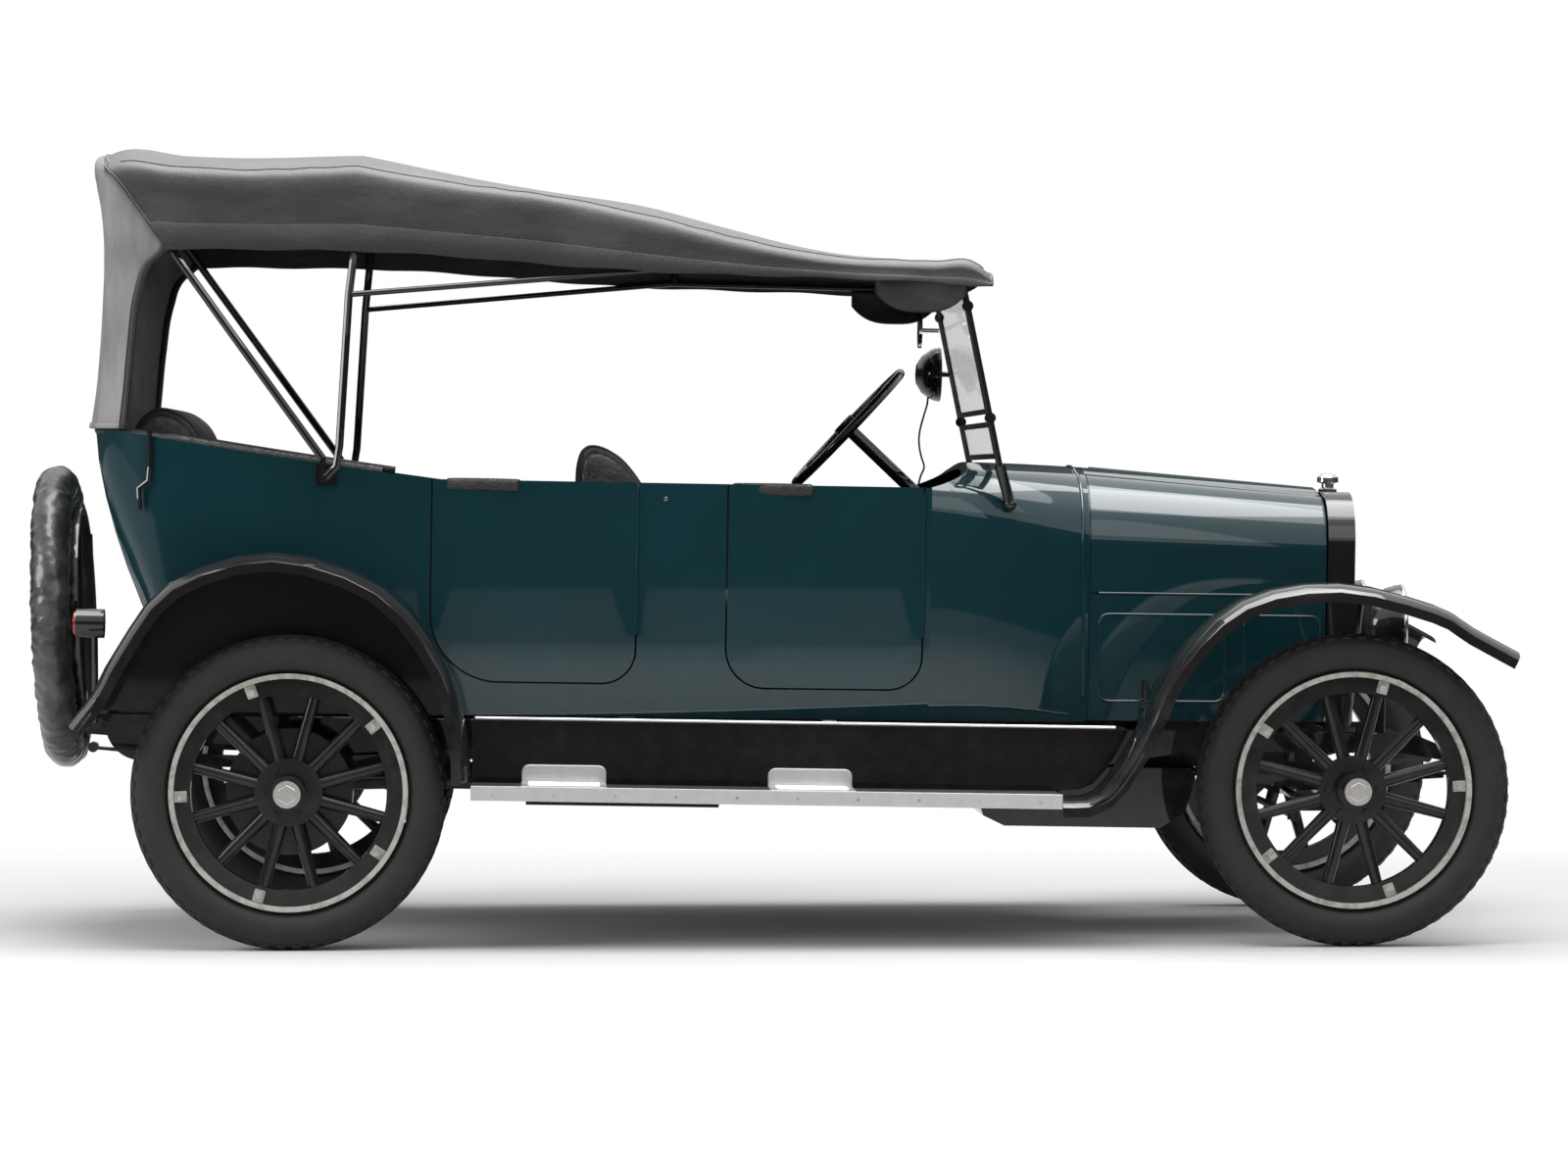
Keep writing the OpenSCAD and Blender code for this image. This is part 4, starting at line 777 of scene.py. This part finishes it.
# Rear curtain: a lighter, weathered cut of the same cloth hung round the back, with a sewn-in pane.
# Its head is tucked under the top, and its foot is drawn down round the tail.
curtain_cloth, where = new_finish("curtain_cloth")
pebble = where.cells(420.0)
weather = where.scaled((1.5, 1.5, 0.5)).grain(0.16, 6.0, 0.6)
surface(where, Base_Color=weather.step(0.3, 0.72).blend((0.15, 0.148, 0.146), (0.27, 0.265, 0.26)),
        Roughness=0.5 + weather * 0.2,
        Normal=(pebble * 0.3 + where.grain(0.03, 5.0, 0.6)).bump(0.0018))
girths = np.array([(978, -573, -463, 642, 238), (1079, -560, -454, 634, 220), (1213, -548, -443, 632, 190),
                   (1347, -538, -424, 634, 150), (1428, -534, -393, 638, 120), (1469, -533, -350, 646, 100),
                   (1560, -540, -402, 642, 90), (1645, -556, -448, 634, 70), (1670, -561, -474, 622, 58),
                   (1700, -566, -512, 556, 46), (1722, -569, -532, 430, 40), (1738, -571, -545, 262, 34)])
rise = np.concatenate([np.linspace(978, 1660, 46)[:-1], np.linspace(1660, 1738, 11)])
hang = []
for z, (back, edge, half, corner) in zip(rise, spline(girths[:, 0], girths[:, 1:], rise)):
    reach = min(1, (edge - back - corner) / corner)
    turns = np.linspace(math.acos(reach) if reach < 0 else math.pi / 2, math.pi, 25)
    bend = np.stack([back + corner + corner * np.cos(turns), half - corner + corner * np.sin(turns)], 1)
    path = np.vstack([[(max(edge, bend[0, 0] + 0.5), bend[0, 1])], bend, [(back, 0)]])
    left = np.column_stack([spread(path, np.linspace(0, walked(path)[-1], 33)), np.full(33, z)])
    hang.append(np.vstack([left, left[-2::-1] * (1, -1, 1)]))
hang = np.array(hang) / 1000
across = np.linspace(-1, 1, 65)[None, :]
fall = np.linspace(1, 0, 56)[:, None]
fold = (np.sin(across * 19 + fall * 1.5) * 0.5 + np.sin(across * 33 + 1.2 - fall) * 0.3
        + np.sin(fall * 9 + across * 5) * 0.4)
outward = np.stack([np.gradient(hang[..., 1], axis=1), -np.gradient(hang[..., 0], axis=1)], -1)
outward /= np.maximum(np.linalg.norm(outward, axis=-1, keepdims=True), 1e-9)
for axis in (0, 1):
    hang[..., axis] += outward[..., axis] * fold * 0.0022 * (0.3 + fall)
curtain = cloth_grid(on_car(hang), "rear_curtain_cloth")
cut = sheet_area(curtain)
middle_face = curtain.data.polygons[32]
inside = Vector(on_car((0.2, 0, 1.3))) - middle_face.center
outer = -1.0 if middle_face.normal.dot(inside) < 0 else 1.0
apply_modifier(curtain, "gauge", "SOLIDIFY", thickness=0.004, offset=outer)
finish_with(curtain, curtain_cloth)
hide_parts("rear_curtain")
for side, column, inner in (("left", 0, 1), ("right", -1, -2)):
    edge = on_car(hang[:, [column, inner]])
    sewn(edge, f"curtain_binding_{side}", 0.009, top_cloth)[0]
sewn(on_car(hang[[0, 1]]), "curtain_foot_hem", 0.009, curtain_cloth)[0]
celluloid, where = new_finish("celluloid")
haze = where.grain(0.08, 5.0)
surface(where, Base_Color=haze.blend((0.42, 0.40, 0.33), (0.55, 0.53, 0.45)), Roughness=0.12 + haze * 0.2,
        Coat_Weight=0.5)
pane_rows = hang[20:37, 24:41] - (0.003, 0, 0)
sewn(on_car(pane_rows), "curtain_pane", 0.002, celluloid)[0]
frame_path = np.vstack([pane_rows[0], pane_rows[1:, -1], pane_rows[-1, -2::-1], pane_rows[-2:0:-1, 0]])
piping(on_car(frame_path), 0.005, "curtain_pane_edge", top_cloth, shut=True)
max(0.72, cut / 1.5)

# Spare cover: a loose sleeve of black waterproof cloth drawn over the spare tyre.
# A cord in each edge gathers it at the rim, and it hangs in creases between.
cover_cloth, where = new_finish("cover_cloth")
scuff = where.grain(0.05, 6.0, 0.6)
surface(where, Base_Color=scuff.step(0.4, 0.75).blend((0.026, 0.026, 0.027), (0.085, 0.085, 0.088)),
        Roughness=0.24 + scuff * 0.2, Coat_Weight=0.3,
        Normal=where.grain(0.012, 5.0, 0.6).bump(0.0012))
edge_turn = 147
spots = np.linspace(0, 2 * math.pi, 360, endpoint=False)
girth = np.radians(np.linspace(-edge_turn, edge_turn, 33))
sleeve = np.zeros((33, 360, 3))
for i, a in enumerate(girth):
    for j, b in enumerate(spots):
        q = Vector((math.cos(b) * 3.1, math.sin(b) * 3.1, a * 0.55))
        crinkle = noise.noise(Vector((math.cos(b) * 21, math.sin(b) * 21, a * 1.5)))
        folds = noise.noise(q * 3.0) + 1.5 * crinkle
        gather = abs(a) / math.radians(edge_turn)
        ruck = math.sin(b * 70 + 2.5 * noise.noise(q)) * gather ** 4
        size = 0.0545 + 0.0042 * folds * (0.45 + 0.55 * gather) + 0.002 * ruck
        ring = 0.371 + size * math.cos(a)
        sleeve[i, j] = (ring * math.cos(b), ring * math.sin(b), size * math.sin(a))
spare_lean = math.radians(-2.9)
spare_low, spare_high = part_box("spare_cover")
centre = (Vector(spare_low) + Vector(spare_high)) / 2
leant = Matrix.Rotation(rake, 3, "Y") @ Matrix.Rotation(spare_lean, 3, "Y")
upright = leant @ Matrix.Rotation(math.pi / 2, 3, "Y")
sleeve = sleeve @ np.array(upright).T + np.array(centre)
spare, cut = sewn(sleeve, "spare_cover_cloth", 0.003, cover_cloth, -1.0, ring=True)
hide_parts("spare_cover")
gathers = [piping(sleeve[row], 0.0035, f"spare_cover_edge_{name}", cover_cloth, shut=True)
           for row, name in ((0, "front"), (-1, "rear"))]
cut / 2.3


# Belt roll: a padded leather roll round the rear of the body, on the edge that the arms rest on.
# It is stuffed with hair and held along its outer side by a row of enamelled tacks.
def skin(node, spot, way):
    hit, landing, _, _ = dressed[node].ray_cast(Vector(spot), Vector(way))
    return np.array(landing) if hit else None


def beside(node, x, z, sign):
    return skin(node, on_car((x, 2.0 * sign, z)), (0, -sign, 0))


def belt(x):
    back = max(0, 372 - x * 1000)
    return (855 + 0.118 * back + 0.000022 * back * back) / 1000


def belt_path(inset):
    corner = 0.231
    tail_half = 0.628
    tail_turn = -0.335
    tail_back = -0.566
    left = []
    for x in np.linspace(0.235, -0.33, 26):
        found = beside("body_sides", x, belt(x) - 0.02, 1)
        if found is None:
            found = beside("body_tail", x, belt(x) - 0.02, 1)
        if found is not None:
            left.append((x, found[1] - inset, belt(x)))
    for bend in np.radians(np.linspace(8, 82, 12)):
        x = tail_turn - (corner - inset) * math.sin(bend)
        left.append((x, tail_half - corner + (corner - inset) * math.cos(bend), belt(x) - 0.006))
    for y in (0.2, 0.0):
        left.append((tail_back + inset, y, belt(tail_back) - 0.008))
    left = np.array(left)
    return on_car(np.vstack([left, left[-2::-1] * (1, -1, 1)]))


roll_path = belt_path(0.020)
roll = piping(roll_path, 0.0185, "belt_roll", seat_leather, sides=5)
tack = hex_nut(0.0045, 0.004, (0, 0, 0), 0.001)
tack_gap = 0.075
heads = []
for x, y, z in spread(roll_path, np.arange(0.03, walked(roll_path)[-1], tack_gap)):
    if abs(y) > 0.5:
        heads.append(Matrix.Translation((x, y + math.copysign(0.0152, y), z - 0.011)))
finish_with(copies(tack, heads, "belt_tacks"), black_enamel)
bpy.data.objects.remove(tack)

# Door pads: stitched leather over the latch of each door, so that nothing catches on the way in.
# Each is stuffed with hair and tacked over the door's upper edge.
hands = (("left", 1), ("right", -1))
for side, sign in hands:
    for end, first, last in (("rear", 0.409, 0.609), ("front", 1.230, 1.416)):
        middle = (first + last) / 2
        found = beside(f"{end}_door_{side}", middle, 0.835, sign)
        low = on_car((middle, 0, 0.842))
        pad = soft_block((last - first, 0.040, 0.036), (0, 0, 0), 0.011, 3)
        settle(pad, Matrix.Translation((low[0], found[1] - sign * 0.0145, low[2]))
               @ Matrix.Rotation(rake, 4, "Y"))
        apply_modifier(pad, "round", "SUBSURF", levels=1, render_levels=1)
        bpy.ops.object.shade_smooth()
        pad.name = f"{end}_{side}_door_pad"
        finish_with(pad, seat_leather, f"{end}_{side}_door")

# Bonnet tops and trim: two curved leaves of painted sheet, hinged along the ridge.
# A bead is rolled into the joint with the scuttle, and panels are pressed into the sides.
# Two spring catches hold down each side.
rear_end = np.array((2.1976, 0.420, 0.921, 0.200))
front_end = np.array((2.8736, 0.300, 0.872, 0.165))
lid_rise = 0.022
leaves = []
for sign in (1, -1):
    rows = []
    for share in np.linspace(0, 1, 25):
        x, half, crown, corner = rear_end * (1 - share) + front_end * share
        bend = np.radians(np.linspace(0, 90, 33))
        turn_z = crown - lid_rise - corner
        low = [(x, half, z) for z in np.linspace(0.5745, turn_z, 4)[:-1]]
        arc = [(x, half - corner + corner * math.cos(a), turn_z + corner * math.sin(a)) for a in bend]
        lid = [(x, (half - corner) * f, crown - lid_rise * f * f) for f in np.linspace(0.9, 0.03, 10)]
        rows.append(low + arc + lid)
    leaf = cloth_grid(on_car(np.array(rows) * (1, sign, 1)), "bonnet_leaf")
    top_face = leaf.data.polygons[40]
    apply_modifier(leaf, "gauge", "SOLIDIFY", thickness=0.004, offset=-1.0 if top_face.normal.z > 0 else 1.0)
    leaves.append(leaf)
ridge_path = on_car([(2.2276, 0, 0.9178), (2.8736, 0, 0.8700)])
ridge = piping(ridge_path, 0.005, "ridge", teal_paint)
bonnet = finish_with(weld(leaves + [ridge], "bonnet_tops"), teal_paint)
pick(bonnet)
crisp(40)
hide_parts("bonnet_top_panels")
joint_x = rear_x + (2.896 - 0.702) * math.cos(rake) - 0.006
bead = []
for turn in np.radians(np.linspace(-14, 194, 61)):
    found = skin("scuttle", (joint_x, math.cos(turn) * 2, 0.78 + math.sin(turn) * 2),
                 (0, -math.cos(turn), -math.sin(turn)))
    if found is not None and found[2] > 0.62:
        bead.append(found)
piping(bead, 0.0055, "bonnet_joint_bead", teal_paint, sides=3)


def pressed_line(corners, radius, sign, name):
    corners = np.array(corners)
    path = []
    for k in range(len(corners)):
        before, here, after = corners[k - 1], corners[k], corners[(k + 1) % len(corners)]
        one = here + (before - here) * radius / np.linalg.norm(before - here)
        two = here + (after - here) * radius / np.linalg.norm(after - here)
        for t in np.linspace(0, 1, 7):
            path.append((1 - t) ** 2 * one + 2 * t * (1 - t) * here + t * t * two)
    even = []
    for here, after in zip(path, path[1:] + path[:1]):
        steps = max(1, int(np.linalg.norm(after - here) / 0.03))
        even += [here + (after - here) * k / steps for k in range(steps)]
    found = [beside("bonnet_side_panels", x, z, sign) for x, z in even]
    sunk = [spot - (0, sign * 0.0012, 0) for spot in found if spot is not None]
    return piping(sunk, 0.0042, name, teal_paint, shut=True, sides=3)


for side, sign in hands:
    for name, back, front in (("bonnet_press", 2.225, 2.585), ("bonnet_press_front", 2.640, 2.860)):
        corners = [(back, 0.270), (front, 0.270), (front, 0.512), (back, 0.512)]
        pressed_line(corners, 0.03, sign, f"{name}_{side}")
    for number, x in ((1, 2.36), (2, 2.75)):
        found = beside("bonnet_side_panels", x, 0.300, sign)
        lever = weld([soft_block((0.016, 0.012, 0.062), (0, 0, 0), 0.004),
                      soft_block((0.034, 0.008, 0.026), (0, -0.006 * sign, -0.034), 0.003),
                      hex_nut(0.009, 0.012, (0, 0.006 * sign, 0.026))], f"bonnet_catch_{side}_{number}")
        settle(lever, Matrix.Translation(Vector(found) + Vector((0, sign * 0.0075, 0))))
        finish_with(lever, black_enamel)

# Apron strip: bright aluminium moulding along the top of each splash apron.
# It is pinned over the joint where the apron meets the body.
for side, sign in hands:
    points = []
    for x in np.linspace(0.500, 2.300, 41):
        found = beside("splash_aprons", x, 0.196, sign)
        if found is not None:
            points.append((found[0], found[1] + sign * 0.001, on_car((x, 0, 0.204))[2]))
    piping(points, 0.0055, f"apron_moulding_{side}", aluminium, sides=3)


# Step plates: pressed aluminium treads and kick plates, with ribs that hold the shoe.
# A strip of the same metal is screwed along the edge of each running board.
def kick_plate(length, height, spot):
    plate = fresh(bpy.ops.mesh.primitive_cube_add, "plate", size=1, location=(0, 0, 0))
    edit_all()
    bpy.ops.transform.resize(value=(length, 0.010, height))
    bpy.ops.mesh.select_all(action="DESELECT")
    bpy.ops.mesh.select_mode(type="EDGE")
    edit_done()
    for edge in plate.data.edges:
        one, two = (plate.data.vertices[k].co for k in edge.vertices)
        edge.select = abs(one.y - two.y) > 0.005 and one.z > 0
    bpy.ops.object.mode_set(mode="EDIT")
    bpy.ops.mesh.bevel(offset=0.022, segments=6, affect="EDGES")
    bpy.ops.mesh.select_all(action="SELECT")
    bpy.ops.mesh.bevel(offset=0.0025, segments=2, affect="EDGES")
    bpy.ops.mesh.select_mode(type="VERT")
    edit_done()
    settle(plate, Matrix.Translation(spot))
    return plate


chassis = Matrix.Translation((rear_x, 0, axle_z)) @ Matrix.Rotation(rake, 4, "Y")
step_runs = ((0.628, 0.860), (1.302, 1.534))
apron_y = 0.600
board_top = 0.028
board_back = 0.493
board_front = 2.0916
deep = 0.838 - 0.030 - apron_y
parts = []
for sign in (1, -1):
    for first, last in step_runs:
        middle = (first + last) / 2
        length = last - first
        parts.append(kick_plate(length, 0.052, (middle, sign * (apron_y + 0.0085), board_top + 0.0262)))
        tread_y = apron_y + 0.004 + deep / 2
        parts.append(soft_block((length, deep, 0.0036), (middle, sign * tread_y, board_top + 0.0021), 0.001))
        for k in range(7):
            rib_y = apron_y + 0.05 + k * 0.022
            parts.append(soft_block((length * 0.84, 0.006, 0.0036),
                                    (middle, sign * rib_y, board_top + 0.0052), 0.0012, 1))
    middle = (board_back + board_front) / 2
    parts.append(soft_block((board_front - board_back, 0.004, 0.040),
                            (middle, sign * 0.836, board_top - 0.016), 0.0015))
steps = weld(parts, "step_plates_pressed")
settle(steps, chassis)
finish_with(steps, aluminium)
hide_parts("step_plates")
screw = hex_nut(0.005, 0.003, (0, 0, 0), 0.0008)
spots = [chassis @ Matrix.Translation((x, sign * 0.837, board_top - 0.018))
         for sign in (1, -1) for x in np.linspace(board_back + 0.06, board_front - 0.06, 10)]
finish_with(copies(screw, spots, "board_edge_screws"), rim_steel)
found = [beside("body_sides", x, z, sign) for sign in (1, -1) for x, z in ((1.010, 0.812), (1.751, 0.800))]
studs = [Matrix.Translation(Vector(spot)) @ Matrix.Scale(1.2, 4) for spot in found if spot is not None]
finish_with(copies(screw, studs, "curtain_studs"), nickel)
bpy.data.objects.remove(screw)

# Running-board matting: a sheet of ribbed black rubber on the wooden boards.
# It is glued down and turned under the aluminium edge.
board_mat, where = new_finish("board_mat")
rib = (where.part(1) * 520.0).sine()
wear = where.grain(0.08, 5.0)
surface(where, Base_Color=wear.step(0.4, 0.7).blend((0.011, 0.011, 0.011), (0.028, 0.027, 0.026)),
        Roughness=0.6 + wear * 0.2, Normal=(rib * 0.5 + 0.5).bump(0.0015))
dressed["running_boards"].data.materials[0] = board_mat

# Inner trim: panels of black leathercloth on board, on the inside of the doors, sides and tail.
# They are tacked to the wooden framing behind the sheet.
for node in ("body_sides", "body_tail", *doors):
    panel = dressed[node].data
    panel.materials.append(seat_leather)
    for face in panel.polygons:
        ahead = -0.45 - face.center.x if node == "body_tail" else 0
        inward = Vector((ahead, -face.center.y, 0)).normalized()
        if face.normal.dot(inward) > 0.5 and face.center.z > 0.66:
            face.material_index = 1

# Lamp glass and reflectors: spun bowls, silvered inside, with rims that hold the glasses.
# The head lamps' rims are nickelled and the spot lamp's is black; the tail lamp has a red lens.
wheelbase = 2.8956
lamps = dressed["lamps"].data
lamps.materials.append(silvered)
head_spots = [on_car((wheelbase + 0.178, sign * 0.365, 0.487)) for sign in (1, -1)]
bowls = [(spot, 0.112) for spot in head_spots] + [(on_car((1.838, 0.604, 1.190)), 0.072)]
for face in lamps.polygons:
    for spot, size in bowls:
        off = np.array(face.center) - spot
        if math.hypot(off[1], off[2]) < size and -0.14 < off[0] < 0.004 and face.normal.x > 0.15:
            face.material_index = 1
for number, (spot, size) in enumerate(bowls):
    rim = fresh(bpy.ops.mesh.primitive_torus_add, f"lamp_rim_{number + 1}", major_radius=size + 0.003,
                minor_radius=0.0055, major_segments=64, minor_segments=10, location=spot,
                rotation=(0, math.pi / 2 + rake, 0))
    settle(rim)
    bpy.ops.object.shade_smooth()
    finish_with(rim, black_enamel if number == 2 else nickel)
ruby_glass, where = new_finish("ruby_glass")
surface(where, Base_Color=where.grain(0.004).blend((0.30, 0.008, 0.006), (0.45, 0.015, 0.01)),
        Roughness=0.12, Coat_Weight=0.8)
tail_lens = fresh(bpy.ops.mesh.primitive_cylinder_add, "tail_lens", vertices=48, radius=0.033, depth=0.010,
                  location=on_car((-0.603, -0.470, 0.442)), rotation=(0, math.pi / 2 + rake, 0))
edit_all()
round_edges(tail_lens, 0.003, 3)
crisp(40)
finish_with(tail_lens, ruby_glass)

# Wing beads: the outer edge of each pressed steel wing, rolled over a wire to stiffen it.
# The bead is enamelled black with the wing.
wing_edge = 0.832
for end, axle, first, last in (("front", wheelbase, -12, 205), ("rear", 0.0, -20, 205)):
    for side, sign in hands:
        edge = []
        for turn in np.radians(np.linspace(first, last, 110)):
            far = on_car((axle + 1.3 * math.cos(turn), sign * wing_edge, 0.02 + 1.3 * math.sin(turn)))
            aim = on_car((axle, sign * wing_edge, 0.02)) - far
            found = skin(f"{end}_wings", far, aim)
            if found is not None and (not edge or np.linalg.norm(found - edge[-1]) < 0.12):
                edge.append(found)
        piping(edge, 0.005, f"{end}_wing_bead_{side}", black_enamel, sides=3)

# Front flap: a tongue of the top's cloth that buttons down to the screen in bad weather.
# It is sewn under the hem near the front and hangs loose at each side.
for side, sign in hands:
    flap = []
    for t in np.linspace(0, 1, 13):
        row = []
        for k in np.linspace(-1, 1, 25):
            fall = 0.092 * (1 - 0.55 * abs(k) ** 3) * t
            out = 0.585 - 0.012 * math.sin(k * 4 + 1) * t - 0.02 * t * t
            row.append((1.700 + 0.125 * k, sign * out, 1.428 - fall))
        flap.append(row)
    tongue, cut = sewn(on_car(flap), f"top_front_flap_{side}", 0.004, top_cloth)

# Front valance: a strip of the top's cloth that closes the space over the screen.
# It is turned under the front edge, drawn back and tacked along the screen's head rail.
front_edge = cover[-1][np.abs(cover[-1][:, 1]) < 0.53]
valance_head = front_edge - (0.004, 0, 0.005)
valance_foot = on_car([(1.833, 0.94 * y, 1.396) for y in front_edge[:, 1]])
valance_rows = [valance_head + (valance_foot - valance_head) * t - (0, 0, 0.006 * math.sin(math.pi * t))
                for t in np.linspace(0, 1, 7)]
valance, cut = sewn(np.array(valance_rows), "top_front_valance", 0.003, top_cloth)

# Spot lamp lead: a thin rubber-covered wire from the lamp down to the scuttle.
# It comes out under the lamp, hangs free and goes in at the scuttle's rear edge.
lead_rubber, where = new_finish("lead_rubber")
scuff = where.grain(0.01, 4.0)
surface(where, Base_Color=scuff.blend((0.03, 0.029, 0.028), (0.06, 0.058, 0.055)),
        Roughness=0.5 + scuff * 0.2)
landing = skin("scuttle", on_car((1.770, 0.495, 1.2)), (0, 0, -1))
lamp_foot = on_car((1.808, 0.604, 1.124))
across_lead = [(0, 0, 0), (-0.004, -0.006, -0.026), (-0.016, -0.024, -0.062), (-0.028, -0.046, -0.104),
               (-0.031, -0.064, -0.140), (-0.026, -0.080, -0.176), (-0.018, -0.094, -0.208)]
hang_points = [lamp_foot + step for step in across_lead]
drop = hang_points[-1] - landing
hang_points += [landing + drop * (0.45, 0.5, 0.5), landing - (0, 0, 0.004)]
hang_points = np.array(hang_points)
lead_path = spline(np.arange(len(hang_points)), hang_points, np.linspace(0, len(hang_points) - 1, 36))
lead = piping(lead_path, 0.003, "spot_lamp_lead", lead_rubber, sides=3)
